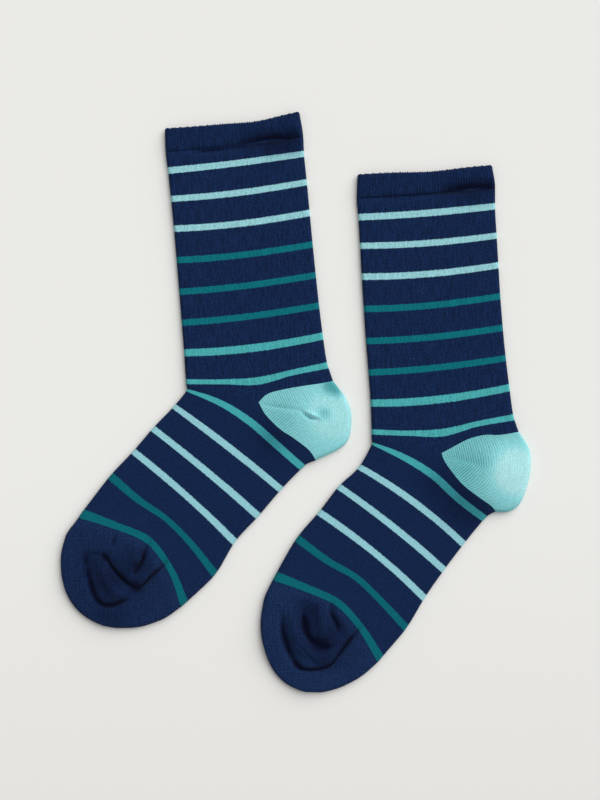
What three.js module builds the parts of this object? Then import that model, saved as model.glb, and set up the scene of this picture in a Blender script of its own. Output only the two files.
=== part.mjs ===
// A pair of ankle-to-calf socks laid flat side by side, in millimetres, +Z up.
// Each sock lies on its side with its toe towards -X and -Y. It is a knitted tube, so each piece
// is a wall that runs round the tube: over the top layer, round the back fold, under the bottom
// layer and round the front fold. The pieces of a sock are its cuff, leg, heel, foot and toe.
// The origin is at the middle of the pair's footprint, on the surface that it lies on.

import * as THREE from "three";
import { mergeVertices } from "three/addons/utils/BufferGeometryUtils.js";

// Thickness of the knitted wall of each piece. The cuff is a doubled band.
const WALL = { cuff: 1.9, leg: 1.3, heel: 1.6, foot: 1.3, toe: 1.6 };

// Half the space between two pieces at a seam, and the least space between the two layers.
const HALF_GAP = 0.15;
const LEAST_HOLLOW = 0.3;

// Where the pieces change, as lengths of knitting: down the leg from the mouth, and along the
// foot from the seam of the heel.
const CUFF_LENGTH = 15;
const LEG_LENGTH = 179;
const FOOT_LENGTH = 117;
const TOE_END = 174;

// Ribs of the cuff, one for every second column of stitches on the upper layer.
const RIB_COUNT = 54;
const RIB_RISE = 0.17;

// Columns of points across the upper and the lower layer, and rows across the heel. Pieces that
// meet at a curved seam have the same columns.
const UPPER_COLUMNS = 16;
const LOWER_COLUMNS = 6;
const HEEL_ROWS = 12;

// Angles, in degrees, of the points that round a fold, from its edge to the flat of the layer,
// and from the flat of the toe to its blunt end.
const UPPER_ROUND = [0, 30, 60, 90];
const LOWER_ROUND = [45, 90];
const TOE_END_ROUND = [90, 60, 35, 12];
const LEAST_FOLD_RADIUS = 0.4;

// Space beside a fold that the flat columns leave to its rounding, and space before the toe's
// blunt end that its even rings leave free, both in radii of the fold.
const ROOM_BESIDE_FOLD = 1.4;
const ROOM_AT_TOE_END = 1.5;

// Wall at the toe's blunt end, where the knitting is closed, as a multiple of the toe's wall.
const TOE_END_WALL = 1.3;

// Share of the way across the heel at which its columns begin to run round with the outline.
const HEEL_TURN = 0.3;

// Straight steps along a fold and along a course, share of a fold's length at which it has
// faded out at each end, and distance under which two points are one.
const FOLD_STEPS = 16;
const COURSE_STEPS = 24;
const FOLD_FADE = 0.04;
const SAME_POINT = 0.002;

// Place of each sock: its ankle point, where the side of the heel's seam ends.
const LEFT_ANKLE = [-23.7, 0];
const RIGHT_ANKLE = [92.9, -32.4];

// Length along the knitting at which each ring of points lies.
const CUFF_RINGS = [0, 1.4, 7.5, 13.4, CUFF_LENGTH];
const LEG_RINGS = [CUFF_LENGTH, 19, 40, 66, 92, 118, 144, 160, 172, LEG_LENGTH];
const FOOT_RINGS = [0, 7, 14, 28, 42, 56, 70, 84, 96, 106, FOOT_LENGTH];
const TOE_RINGS = [FOOT_LENGTH, 121, 125, 129, 133, 137, 141, 145, 149, 153, 157, 161, 165, 169];

// Height of the upper layer's outside above the surface, down the leg and along the foot.
const CUFF_HEIGHTS = [
  { knit: 0, height: 3.8 },
  { knit: 1.4, height: 4.5 },
  { knit: 13.4, height: 4.5 },
  { knit: 15, height: 3.9 },
];
const LEG_HEIGHTS = [
  { knit: 15, height: 3.1 },
  { knit: 20, height: 3.7 },
  { knit: 100, height: 3.6 },
  { knit: 160, height: 3.9 },
  { knit: 179, height: 4.2 },
];
const FOOT_HEIGHTS = [
  { knit: 0, height: 4.2 },
  { knit: 20, height: 3.9 },
  { knit: 60, height: 3.7 },
  { knit: 100, height: 4 },
  { knit: 125, height: 4.8 },
  { knit: 160, height: 4.8 },
  { knit: 174, height: 4.2 },
];

// A course is one row of stitches seen from above. Each row of these tables gives the course at
// that length of knitting: where it meets the front fold, the middle of the side and the back
// fold, measured from the ankle point. A course that isn't one even arc also has a point half
// way along each half. The two courses at the heel's seam have a corner at the ankle point.
const LEFT_LEG = [
  { knit: 0, front: [-60, 174.5], middle: [-17, 178.5], back: [26, 185.5] },
  { knit: 15, front: [-59.5, 160], middle: [-16, 164], back: [28.5, 169.5] },
  { knit: 26, front: [-58, 148], middle: [-14.5, 153], back: [29, 159.5] },
  { knit: 86, front: [-52.5, 91], middle: [-9, 94.5], back: [34.5, 101] },
  {
    knit: 166,
    front: [-46.5, 13],
    frontHalf: [-22.5, 12.5],
    middle: [0, 13.5],
    backHalf: [22, 19],
    back: [44, 24],
  },
  {
    knit: 179,
    corner: true,
    front: [-46, 10.5],
    frontHalf: [-23, 5.5],
    middle: [0, 0],
    backHalf: [14.8, 8.1],
    back: [47.5, 13.7],
  },
];
const LEFT_FOOT = [
  {
    knit: 0,
    corner: true,
    front: [-46, 10.5],
    frontHalf: [-23, 5.5],
    middle: [0, 0],
    backHalf: [13.5, -17.5],
    back: [36.5, -37],
  },
  { knit: 14, front: [-45.5, 8.2], middle: [-5.5, -12], back: [30, -40.5] },
  { knit: 34, front: [-54.5, -3], middle: [-19.5, -28], back: [14.5, -55.5] },
  { knit: 54, front: [-67.5, -16.5], middle: [-33.5, -43.5], back: [0, -72.5] },
  { knit: 74, front: [-80, -31], middle: [-47, -58.5], back: [-15, -89] },
  {
    knit: 94,
    front: [-94.5, -46.5],
    frontHalf: [-76.5, -62],
    middle: [-58.5, -74.5],
    backHalf: [-43, -90],
    back: [-27.5, -109.5],
  },
  {
    knit: 114,
    front: [-113.5, -70.5],
    frontHalf: [-91, -78.5],
    middle: [-69.5, -88],
    backHalf: [-55.5, -107],
    back: [-47.5, -129.5],
  },
  { knit: 135, front: [-123.5, -86], middle: [-85.5, -104], back: [-63, -139.5] },
  { knit: 155, front: [-126.5, -101], middle: [-100.5, -119], back: [-80.5, -144.8] },
  { knit: 174, front: [-125.5, -117.5], middle: [-115, -133.5], back: [-99, -143.5] },
];
const RIGHT_LEG = [
  { knit: 0, front: [-53.5, 177.5], middle: [-10.5, 180.5], back: [32.5, 183.5] },
  { knit: 15, front: [-54, 162.5], middle: [-9.5, 165.5], back: [34.5, 169] },
  { knit: 26, front: [-53, 151], middle: [-9, 154], back: [34.5, 158] },
  { knit: 86, front: [-49.5, 92.5], middle: [-5.5, 95], back: [37.8, 100.5] },
  {
    knit: 166,
    front: [-44.5, 13],
    frontHalf: [-20.5, 12.5],
    middle: [1.5, 14],
    backHalf: [23, 19],
    back: [46.3, 23.5],
  },
  {
    knit: 179,
    corner: true,
    front: [-44.5, 9],
    frontHalf: [-22.5, 4.5],
    middle: [0, 0],
    backHalf: [21.5, 10.6],
    back: [49.5, 13.6],
  },
];
const RIGHT_FOOT = [
  {
    knit: 0,
    corner: true,
    front: [-44.5, 9],
    frontHalf: [-22.5, 4.5],
    middle: [0, 0],
    backHalf: [15, -21.5],
    back: [34.5, -37.5],
  },
  { knit: 14, front: [-44, 6.5], middle: [-5, -13], back: [29, -41] },
  { knit: 34, front: [-52.5, -9], middle: [-17.5, -31], back: [14.5, -58] },
  { knit: 54, front: [-65.5, -21.5], middle: [-31, -46.5], back: [2, -74.5] },
  { knit: 74, front: [-78, -37.5], middle: [-43, -63.5], back: [-10.5, -92.5] },
  {
    knit: 94,
    front: [-92, -54],
    frontHalf: [-72.5, -68.5],
    middle: [-54.5, -79.5],
    backHalf: [-39, -94],
    back: [-22, -111.5],
  },
  {
    knit: 114,
    front: [-106, -77.5],
    frontHalf: [-84.5, -86.5],
    middle: [-65.5, -95.5],
    backHalf: [-51.5, -111],
    back: [-38.5, -132],
  },
  { knit: 135, front: [-113.5, -94.5], middle: [-78.5, -112], back: [-54, -144.5] },
  { knit: 155, front: [-115.5, -110], middle: [-91.5, -127.5], back: [-70, -151.5] },
  { knit: 174, front: [-112.8, -126.5], middle: [-102.8, -144], back: [-86, -153] },
];

// Outline of each heel from the leg's back fold to the foot's, seen from above.
const LEFT_HEEL_OUTLINE = [[47.5, 13.7], [56.3, 4], [59.5, -9], [55.8, -26.5], [36.5, -37]];
const RIGHT_HEEL_OUTLINE = [
  [49.5, 13.6], [56.6, 1], [56.5, -15], [51.5, -31.5], [43.5, -37], [34.5, -37.5],
];

// Soft swellings of the upper layer: where the cloth of the pockets puffs up.
const LEFT_SWELLS = [
  { at: [38, -10], reach: 21, rise: 1.9 },
  { at: [-78, -96], reach: 16, rise: 0.9 },
];
const RIGHT_SWELLS = [
  { at: [38, -14], reach: 21, rise: 2.1 },
  { at: [-76, -118], reach: 15, rise: 0.9 },
];

// Folds of the upper layer. Each runs from one point through another to a third. It rises or
// sinks by its rise, falls away over its width on the side to its right, and over its steep
// width on the side to its left, as seen along the fold.
const LEFT_FOLDS = [
  { from: [-97, -97], through: [-78, -118], to: [-60, -103], width: 4.5, steep: 2, rise: -1.3 },
  { from: [-111, -100], through: [-99.5, -128.5], to: [-78.5, -120], width: 4, steep: 3, rise: -0.9 },
  { from: [-72, -90], through: [-74, -100], to: [-78, -108], width: 3, steep: 3, rise: -0.5 },
  { from: [10, -2.5], through: [24, -4.5], to: [34, -6.5], width: 3, steep: 3, rise: -0.5 },
  { from: [30, -5], through: [35, -7.5], to: [40, -11], width: 3.5, steep: 2, rise: -1.1 },
];
const RIGHT_FOLDS = [
  { from: [-102, -105], through: [-88, -137], to: [-53, -113], width: 4.5, steep: 3, rise: -1.1 },
  { from: [-89, -105], through: [-79, -122], to: [-68, -122], width: 4, steep: 2.5, rise: -0.8 },
  { from: [-70, -96], through: [-68, -103], to: [-67, -109], width: 3, steep: 3, rise: -0.4 },
];

// Materials, with the colour that shows most on each piece.
const FINISHES = {
  cuff: { color: 0x15233f, roughness: 0.92 },
  leg: { color: 0x16284a, roughness: 0.9 },
  heel: { color: 0x7cc2c4, roughness: 0.9 },
  foot: { color: 0x16284a, roughness: 0.9 },
  toe: { color: 0x182a4c, roughness: 0.92 },
};

const radians = (degrees) => THREE.MathUtils.degToRad(degrees);
const vector = ([x, y]) => new THREE.Vector2(x, y);
const between = (a, b, share) => a.clone().lerp(b, share);

// Slope at each row of a table of values, for a curve through them that never overshoots.
function slopesOf(places, values) {
  const steps = places.slice(1).map((place, i) => (values[i + 1] - values[i]) / (place - places[i]));
  const inner = steps.slice(1).map((step, i) => {
    const before = steps[i];
    return before * step <= 0 ? 0 : (2 * before * step) / (before + step);
  });
  return [steps[0], ...inner, steps[steps.length - 1]];
}

// Value at a place between the rows of a table.
function smoothValue(places, values, place) {
  const slopes = slopesOf(places, values);
  let row = 0;
  while (row < places.length - 2 && place > places[row + 1]) {
    row += 1;
  }
  const step = places[row + 1] - places[row];
  const t = (place - places[row]) / step;
  const rise = t * t * (3 - 2 * t);
  const leaving = t * (1 - t) * (1 - t) * step;
  const arriving = t * t * (t - 1) * step;
  const level = values[row] + (values[row + 1] - values[row]) * rise;
  return level + slopes[row] * leaving + slopes[row + 1] * arriving;
}

// Height of the upper layer at a length of knitting.
function heightAt(heights, knit) {
  const row = Math.max(1, heights.findIndex((entry) => entry.knit >= knit));
  const low = heights[row - 1];
  const high = heights[row];
  const share = (knit - low.knit) / (high.knit - low.knit);
  return THREE.MathUtils.lerp(low.height, high.height, share);
}

// Curve that passes from one point through another, half way along, to a third.
function arcThrough(from, through, to) {
  const bend = through.clone().multiplyScalar(2).sub(between(from, to, 0.5));
  return new THREE.QuadraticBezierCurve(from, bend, to);
}

// Seen from above, the curve of one course, as a function of the share of the way from the
// front fold to the back fold.
function courseCurve(course) {
  const front = vector(course.front);
  const middle = vector(course.middle);
  const back = vector(course.back);
  if (course.corner) {
    const frontArc = arcThrough(front, vector(course.frontHalf), middle);
    const backArc = arcThrough(middle, vector(course.backHalf), back);
    return (share) => (share < 0.5 ? frontArc.getPointAt(2 * share) : backArc.getPointAt(2 * share - 1));
  }
  if (course.frontHalf) {
    const points = [front, vector(course.frontHalf), middle, vector(course.backHalf), back];
    const spline = new THREE.SplineCurve(points);
    return (share) => spline.getPointAt(share);
  }
  const arc = arcThrough(front, middle, back);
  return (share) => arc.getPointAt(share);
}

// Seen from above, the place of any stitch of a tube: the length of knitting says on which
// course it lies, and the share how far it is from the front fold to the back fold.
function tubePlan(courses) {
  const places = courses.map((course) => course.knit);
  const curves = courses.map(courseCurve);
  return (share, knit) => {
    const points = curves.map((curve) => curve(share));
    const x = smoothValue(places, points.map((point) => point.x), knit);
    const y = smoothValue(places, points.map((point) => point.y), knit);
    return new THREE.Vector2(x, y);
  };
}

// Seen from above, the place of any stitch of a heel. Its columns of stitches leave the leg's
// seam and the foot's seam square to them and meet at the gore, a line from the ankle point to
// the middle of the outline. Near the outline they run round with it.
function heelPlan(legSeam, footSeam, outlinePoints) {
  const outline = new THREE.SplineCurve(outlinePoints.map(vector));
  const ankle = legSeam(0.5);
  const heelPoint = outline.getPointAt(0.5);
  const straight = (reach, round) => {
    const gore = between(ankle, heelPoint, reach);
    const seam = round < 0.5 ? legSeam(0.5 + reach / 2) : footSeam(0.5 + reach / 2);
    return between(seam, gore, 1 - Math.abs(2 * round - 1));
  };
  return (reach, round) => {
    const bulge = outline.getPointAt(round).sub(straight(1, round));
    const share = THREE.MathUtils.smoothstep(reach, HEEL_TURN, 1);
    return straight(reach, round).addScaledVector(bulge, share);
  };
}

// How far the folds and swellings raise the upper layer at a point seen from above.
function reliefOf(folds, swells) {
  const curves = folds.map((fold) => {
    return arcThrough(vector(fold.from), vector(fold.through), vector(fold.to)).getPoints(FOLD_STEPS);
  });
  const foldRise = (fold, points, place) => {
    let nearest = Infinity;
    let side = 1;
    let along = 0;
    for (let i = 1; i < points.length; i += 1) {
      const step = points[i].clone().sub(points[i - 1]);
      const offset = place.clone().sub(points[i - 1]);
      const share = THREE.MathUtils.clamp(offset.dot(step) / step.lengthSq(), 0, 1);
      const gap = offset.clone().addScaledVector(step, -share);
      if (gap.length() < nearest) {
        nearest = gap.length();
        side = Math.sign(step.cross(offset));
        along = (i - 1 + share) / (points.length - 1);
      }
    }
    const width = side > 0 ? fold.steep : fold.width;
    const ends = Math.sin(Math.PI * THREE.MathUtils.clamp(along, FOLD_FADE, 1 - FOLD_FADE));
    return fold.rise * Math.sqrt(ends) * Math.exp(-((nearest / width) ** 2));
  };
  return (place) => {
    const raised = swells.map((swell) => {
      const share = place.distanceTo(vector(swell.at)) / swell.reach;
      return swell.rise * Math.exp(-(share ** 2));
    });
    const folded = folds.map((fold, i) => foldRise(fold, curves[i], place));
    return [...raised, ...folded].reduce((sum, rise) => sum + rise, 0);
  };
}

// Points across one layer, from the front fold to the back fold, outside the wall or inset from
// its outside. Their shares are of the course's length. The lift is 0 at the edge of a fold and
// 1 on the flat of the layer.
function layerSamples(length, { full, inset }, columns, angles) {
  const radius = Math.max(LEAST_FOLD_RADIUS, full / 2 - inset);
  const rim = inset / length;
  const rounded = angles.map((angle) => ({
    share: rim + (radius * (1 - Math.cos(radians(angle)))) / length,
    lift: Math.sin(radians(angle)),
  }));
  const flatFrom = rim + (ROOM_BESIDE_FOLD * radius) / length;
  const flat = [];
  for (let column = 1; column < columns; column += 1) {
    const share = column / columns;
    if (Math.min(share, 1 - share) > flatFrom) {
      flat.push({ share, lift: 1 });
    }
  }
  const mirrored = rounded.map(({ share, lift }) => ({ share: 1 - share, lift })).reverse();
  return [...rounded, ...flat, ...mirrored];
}

// Points of the upper and the lower layer above a place seen from above.
function upperPoint(place, lift, { full, inset, relief }) {
  const level = Math.max(full + relief(place) - inset, inset + LEAST_HOLLOW);
  return new THREE.Vector3(place.x, place.y, THREE.MathUtils.lerp(full / 2, level, lift));
}
function lowerPoint(place, lift, { full, inset }) {
  return new THREE.Vector3(place.x, place.y, THREE.MathUtils.lerp(full / 2, inset, lift));
}

// Moves a row of places sideways by the same amount all along, towards its right.
function shifted(places, amount) {
  const normals = places.slice(1).map((place, i) => {
    const step = place.clone().sub(places[i]).normalize();
    return new THREE.Vector2(step.y, -step.x);
  });
  return places.map((place, i) => {
    const before = normals[Math.max(0, i - 1)];
    const after = normals[Math.min(normals.length - 1, i)];
    const normal = before.clone().add(after).normalize();
    return place.clone().addScaledVector(normal, amount / normal.dot(before));
  });
}

// Length of a course seen from above.
function courseLength(plan, knit) {
  let length = 0;
  for (let step = 1; step <= COURSE_STEPS; step += 1) {
    length += plan(step / COURSE_STEPS, knit).distanceTo(plan((step - 1) / COURSE_STEPS, knit));
  }
  return length;
}

// Skin of one solid: rows of points, joined by triangles that face outwards. Each point of a row
// has a stop, which says how far along the row it is, from 0 to 1.
class Skin {
  constructor() {
    this.places = [];
    this.corners = [];
  }

  row(points) {
    const first = this.places.length / 3;
    points.forEach(({ point }) => this.places.push(point.x, point.y, point.z));
    return points.map(({ stop }, i) => ({ index: first + i, stop }));
  }

  // Joins two open rows stop by stop.
  join(near, far) {
    let i = 0;
    let j = 0;
    while (i < near.length - 1 || j < far.length - 1) {
      const nearStop = i < near.length - 1 ? near[i + 1].stop : Infinity;
      const farStop = j < far.length - 1 ? far[j + 1].stop : Infinity;
      if (farStop <= nearStop) {
        this.corners.push(near[i].index, far[j].index, far[j + 1].index);
        j += 1;
      } else {
        this.corners.push(near[i].index, far[j].index, near[i + 1].index);
        i += 1;
      }
    }
  }

  // Joins two rows that each close on themselves.
  joinRings(near, far) {
    const close = (row) => [...row, { index: row[0].index, stop: 1 }];
    this.join(close(near), close(far));
  }

  geometry() {
    const loose = new THREE.BufferGeometry();
    loose.setAttribute("position", new THREE.Float32BufferAttribute(this.places, 3));
    loose.setIndex(this.corners);
    const geometry = mergeVertices(loose, SAME_POINT);
    const corners = Array.from(geometry.getIndex().array);
    const kept = [];
    for (let i = 0; i < corners.length; i += 3) {
      const [a, b, c] = corners.slice(i, i + 3);
      if (a !== b && b !== c && c !== a) {
        kept.push(a, b, c);
      }
    }
    geometry.setIndex(kept);
    geometry.computeVertexNormals();
    return geometry;
  }
}

// One ring of a tube: over the upper layer from the front fold to the back fold, and back under
// the lower layer. The end lift flattens the ring where the tube closes.
function tubeRing(tube, { knit, shift = 0, endLift = 1 }, { inset, columns, ribs = 0 }) {
  const length = courseLength(tube.plan, knit);
  const wall = { full: heightAt(tube.heights, knit), inset, relief: tube.relief };
  const upper = layerSamples(length, wall, columns, UPPER_ROUND);
  const lower = layerSamples(length, wall, LOWER_COLUMNS, LOWER_ROUND);
  const edges = [inset / length, 1 - inset / length];
  const placesOf = (shares) => shifted(shares.map((share) => tube.plan(share, knit)), shift);
  const upperPlaces = placesOf(upper.map(({ share }) => share));
  const lowerPlaces = placesOf([edges[0], ...lower.map(({ share }) => share), edges[1]]).slice(1, -1);
  const top = upper.map(({ share, lift }, i) => {
    const point = upperPoint(upperPlaces[i], Math.min(lift, endLift), wall);
    if (lift === 1) {
      point.z += i % 2 === 0 ? ribs : -ribs;
    }
    return { point, stop: share / 2 };
  });
  const bottom = lower.map(({ share, lift }, i) => ({
    point: lowerPoint(lowerPlaces[i], Math.min(lift, endLift), wall),
    stop: 1 - share / 2,
  }));
  return [...top, ...bottom.reverse()];
}

// Wall of a piece that is open at both ends. The shifts draw its ends back from the seams.
function tubeWall(tube, knits, { wall, shifts, columns = UPPER_COLUMNS, ribs = 0 }) {
  const skin = new Skin();
  const last = knits.length - 1;
  const shiftOf = (i) => (i === 0 ? shifts[0] : i === last ? shifts[1] : 0);
  const rings = knits.map((knit, i) => ({ knit, shift: shiftOf(i) }));
  const outside = rings.map((ring) => skin.row(tubeRing(tube, ring, { inset: 0, columns, ribs })));
  const innerWall = { inset: wall, columns: Math.min(columns, UPPER_COLUMNS) };
  const inside = rings.map((ring) => skin.row(tubeRing(tube, ring, innerWall)));
  skin.joinRings(inside[0], outside[0]);
  for (let i = 0; i < last; i += 1) {
    skin.joinRings(outside[i], outside[i + 1]);
    skin.joinRings(inside[i + 1], inside[i]);
  }
  skin.joinRings(outside[last], inside[last]);
  return skin.geometry();
}

// The upper and the lower half of a ring, both from the front fold to the back fold.
function layersOf(ring) {
  const upper = ring.filter(({ stop }) => stop <= 0.5);
  const lower = ring.filter(({ stop }) => stop > 0.5).reverse();
  const frontEdge = { index: upper[0].index, stop: 0 };
  const backEdge = { index: upper[upper.length - 1].index, stop: 1 };
  return {
    upper: upper.map(({ index, stop }) => ({ index, stop: 2 * stop })),
    lower: [frontEdge, ...lower.map(({ index, stop }) => ({ index, stop: 2 * (1 - stop) })), backEdge],
  };
}

// Wall of the toe, closed at its far end, where the rings flatten to a rounded edge.
function toeWall(tube, knits, wall) {
  const skin = new Skin();
  const radius = heightAt(tube.heights, TOE_END) / 2;
  const rowsOf = (inset) => {
    const end = TOE_END - TOE_END_WALL * inset;
    const body = knits.filter((knit) => knit < end - ROOM_AT_TOE_END * radius).map((knit) => ({ knit }));
    body[0].shift = HALF_GAP;
    const rounded = TOE_END_ROUND.map((angle) => ({
      knit: end - radius * (1 - Math.cos(radians(angle))),
      endLift: Math.sin(radians(angle)),
    }));
    const skinned = { inset, columns: UPPER_COLUMNS };
    return [...body, ...rounded].map((ring) => skin.row(tubeRing(tube, ring, skinned)));
  };
  const outside = rowsOf(0);
  const inside = rowsOf(wall);
  skin.joinRings(inside[0], outside[0]);
  outside.slice(1).forEach((row, i) => skin.joinRings(outside[i], row));
  inside.slice(1).forEach((row, i) => skin.joinRings(row, inside[i]));
  const outerEnd = layersOf(outside[outside.length - 1]);
  const innerEnd = layersOf(inside[inside.length - 1]);
  skin.join(outerEnd.upper, outerEnd.lower);
  skin.join(innerEnd.lower, innerEnd.upper);
  return skin.geometry();
}

// Where the heel's two seams meet, drawn back by the gap at each.
function heelApex(legSeam, footSeam) {
  const nearby = 0.55;
  const ankle = legSeam(0.5);
  const legWay = legSeam(nearby).sub(ankle).normalize();
  const footWay = footSeam(nearby).sub(ankle).normalize();
  const halfAngle = Math.acos(legWay.dot(footWay)) / 2;
  const middleWay = legWay.add(footWay).normalize();
  return ankle.addScaledVector(middleWay, HALF_GAP / Math.sin(halfAngle));
}

// Wall of the heel pocket: one leaf on each layer, joined round the outline and open along the
// seams to the leg and the foot. Its rows run from the ankle point over the upper layer, round
// the outline and back to the ankle point under the lower layer.
function heelWall({ leg, foot, heelOutline, relief }, wall) {
  const skin = new Skin();
  const full = heightAt(LEG_HEIGHTS, LEG_LENGTH);
  const legSeam = (share) => leg.plan(share, LEG_LENGTH);
  const footSeam = (share) => foot.plan(share, 0);
  const leaf = heelPlan(legSeam, footSeam, heelOutline);
  const apex = heelApex(legSeam, footSeam);
  const legSeamLength = courseLength(leg.plan, LEG_LENGTH);
  const footSeamLength = courseLength(foot.plan, 0);
  const halfOf = (row, inset, columns, angles) => {
    const length = THREE.MathUtils.lerp(legSeamLength, footSeamLength, row / HEEL_ROWS);
    return layerSamples(length, { full, inset }, columns, angles).filter(({ share }) => share >= 0.5);
  };
  const placesOf = (samples, row) => {
    const shares = samples.map(({ share }) => share);
    if (row === 0) {
      return shifted(shares.map(legSeam), HALF_GAP);
    }
    if (row === HEEL_ROWS) {
      return shifted(shares.map(footSeam), -HALF_GAP);
    }
    return shares.map((share) => leaf(2 * share - 1, row / HEEL_ROWS));
  };
  const rowOf = (row, inset) => {
    const skinned = { full, inset, relief };
    const upper = halfOf(row, inset, UPPER_COLUMNS, UPPER_ROUND);
    const lower = halfOf(row, inset, LOWER_COLUMNS, LOWER_ROUND);
    const upperPlaces = [apex, ...placesOf(upper, row).slice(1)];
    const lowerPlaces = [apex, ...placesOf(lower, row).slice(1)];
    const over = upper.map(({ lift }, i) => upperPoint(upperPlaces[i], lift, skinned));
    const under = lower.map(({ lift }, i) => lowerPoint(lowerPlaces[i], lift, skinned));
    const points = [...over, ...under.reverse()];
    return skin.row(points.map((point, i) => ({ point, stop: i / (points.length - 1) })));
  };
  const rows = Array.from({ length: HEEL_ROWS + 1 }, (_, row) => row);
  const outside = rows.map((row) => rowOf(row, 0));
  const inside = rows.map((row) => rowOf(row, wall));
  skin.join(inside[0], outside[0]);
  for (let i = 0; i < HEEL_ROWS; i += 1) {
    skin.join(outside[i], outside[i + 1]);
    skin.join(inside[i + 1], inside[i]);
  }
  skin.join(outside[HEEL_ROWS], inside[HEEL_ROWS]);
  return skin.geometry();
}

function pieceMesh(name, piece, geometry) {
  const { color, roughness } = FINISHES[piece];
  const material = new THREE.MeshStandardMaterial({ color, roughness, metalness: 0 });
  const mesh = new THREE.Mesh(geometry, material);
  mesh.name = name;
  return mesh;
}

// One sock, with its origin at its ankle point.
function makeSock(side, { ankle, legCourses, footCourses, heelOutline, folds, swells }) {
  const relief = reliefOf(folds, swells);
  const legPlan = tubePlan(legCourses);
  const cuff = { plan: legPlan, heights: CUFF_HEIGHTS, relief };
  const leg = { plan: legPlan, heights: LEG_HEIGHTS, relief };
  const foot = { plan: tubePlan(footCourses), heights: FOOT_HEIGHTS, relief };
  const seamShifts = [HALF_GAP, -HALF_GAP];
  const cuffBand = { wall: WALL.cuff, shifts: [0, -HALF_GAP], columns: 2 * RIB_COUNT, ribs: RIB_RISE };
  const geometries = {
    cuff: tubeWall(cuff, CUFF_RINGS, cuffBand),
    leg: tubeWall(leg, LEG_RINGS, { wall: WALL.leg, shifts: seamShifts }),
    heel: heelWall({ leg, foot, heelOutline, relief }, WALL.heel),
    foot: tubeWall(foot, FOOT_RINGS, { wall: WALL.foot, shifts: seamShifts }),
    toe: toeWall(foot, TOE_RINGS, WALL.toe),
  };
  const sock = new THREE.Group();
  Object.entries(geometries).forEach(([piece, geometry]) => {
    sock.add(pieceMesh(`${side}_${piece}`, piece, geometry));
  });
  sock.position.set(ankle[0], ankle[1], 0);
  return sock;
}

const leftSock = makeSock("left", {
  ankle: LEFT_ANKLE,
  legCourses: LEFT_LEG,
  footCourses: LEFT_FOOT,
  heelOutline: LEFT_HEEL_OUTLINE,
  folds: LEFT_FOLDS,
  swells: LEFT_SWELLS,
});

const rightSock = makeSock("right", {
  ankle: RIGHT_ANKLE,
  legCourses: RIGHT_LEG,
  footCourses: RIGHT_FOOT,
  heelOutline: RIGHT_HEEL_OUTLINE,
  folds: RIGHT_FOLDS,
  swells: RIGHT_SWELLS,
});

const pair = new THREE.Group();
pair.add(leftSock, rightSock);

export default pair;
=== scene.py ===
import math
from collections import namedtuple

import bmesh
import bpy
import numpy as np
from bpy.props import FloatProperty, FloatVectorProperty, IntProperty, PointerProperty
from bpy.types import Operator, Panel, PropertyGroup
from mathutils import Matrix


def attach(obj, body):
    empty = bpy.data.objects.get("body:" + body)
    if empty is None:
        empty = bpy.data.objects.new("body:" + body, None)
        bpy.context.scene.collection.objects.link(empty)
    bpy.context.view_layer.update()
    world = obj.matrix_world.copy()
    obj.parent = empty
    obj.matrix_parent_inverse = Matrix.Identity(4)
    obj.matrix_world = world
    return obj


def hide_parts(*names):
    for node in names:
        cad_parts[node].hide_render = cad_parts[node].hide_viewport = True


bl_info = {
    "name": "Pair of Socks Laid Flat",
    "version": (1, 0, 0),
    "blender": (4, 5, 0),
    "location": "View3D > Sidebar > Socks",
    "description": "Knits a striped pair of crew socks, laid flat side by side, piece by piece",
    "category": "Add Mesh",
}

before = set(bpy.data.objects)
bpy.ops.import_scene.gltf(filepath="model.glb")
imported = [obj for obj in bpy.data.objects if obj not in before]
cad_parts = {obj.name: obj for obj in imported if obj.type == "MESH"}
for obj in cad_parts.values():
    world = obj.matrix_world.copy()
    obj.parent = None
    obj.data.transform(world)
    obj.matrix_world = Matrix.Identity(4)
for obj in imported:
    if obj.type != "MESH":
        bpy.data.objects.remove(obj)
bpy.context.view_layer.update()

# The tables below are in millimetres, and MM turns them into metres. Each sock is drawn from its
# ankle point, where the side of the heel's seam ends. +X is to the right and +Y up the legs.
MM = 0.001
LEFT_ANKLE = (-23.7, 0)
RIGHT_ANKLE = (92.9, -32.4)

# Lengths of knitting at which the pieces change, down the leg and along the foot.
CUFF_LENGTH = 15
LEG_LENGTH = 179
FOOT_LENGTH = 117
TOE_END = 174

# Stripes: the middle of the first one and the way from each to the next, down the leg and along
# the foot.
LEG_FIRST_STRIPE = 26
FOOT_FIRST_STRIPE = 14
STRIPE_PITCH = 20

# Height of the upper layer's outside above the surface, at lengths of knitting.
Height = namedtuple("Height", "knit height")
CUFF_HEIGHTS = [Height(0, 4.1), Height(2, 4.5), Height(11, 4.5), Height(13.8, 4.2), Height(15, 3.6)]
LEG_HEIGHTS = [Height(15, 3.4), Height(16.5, 3.7), Height(100, 3.6), Height(160, 3.9), Height(179, 4.2)]
FOOT_HEIGHTS = [
    Height(0, 4.2),
    Height(20, 3.9),
    Height(60, 3.7),
    Height(100, 4),
    Height(125, 4.8),
    Height(160, 4.8),
    Height(174, 4.2),
]

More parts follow.
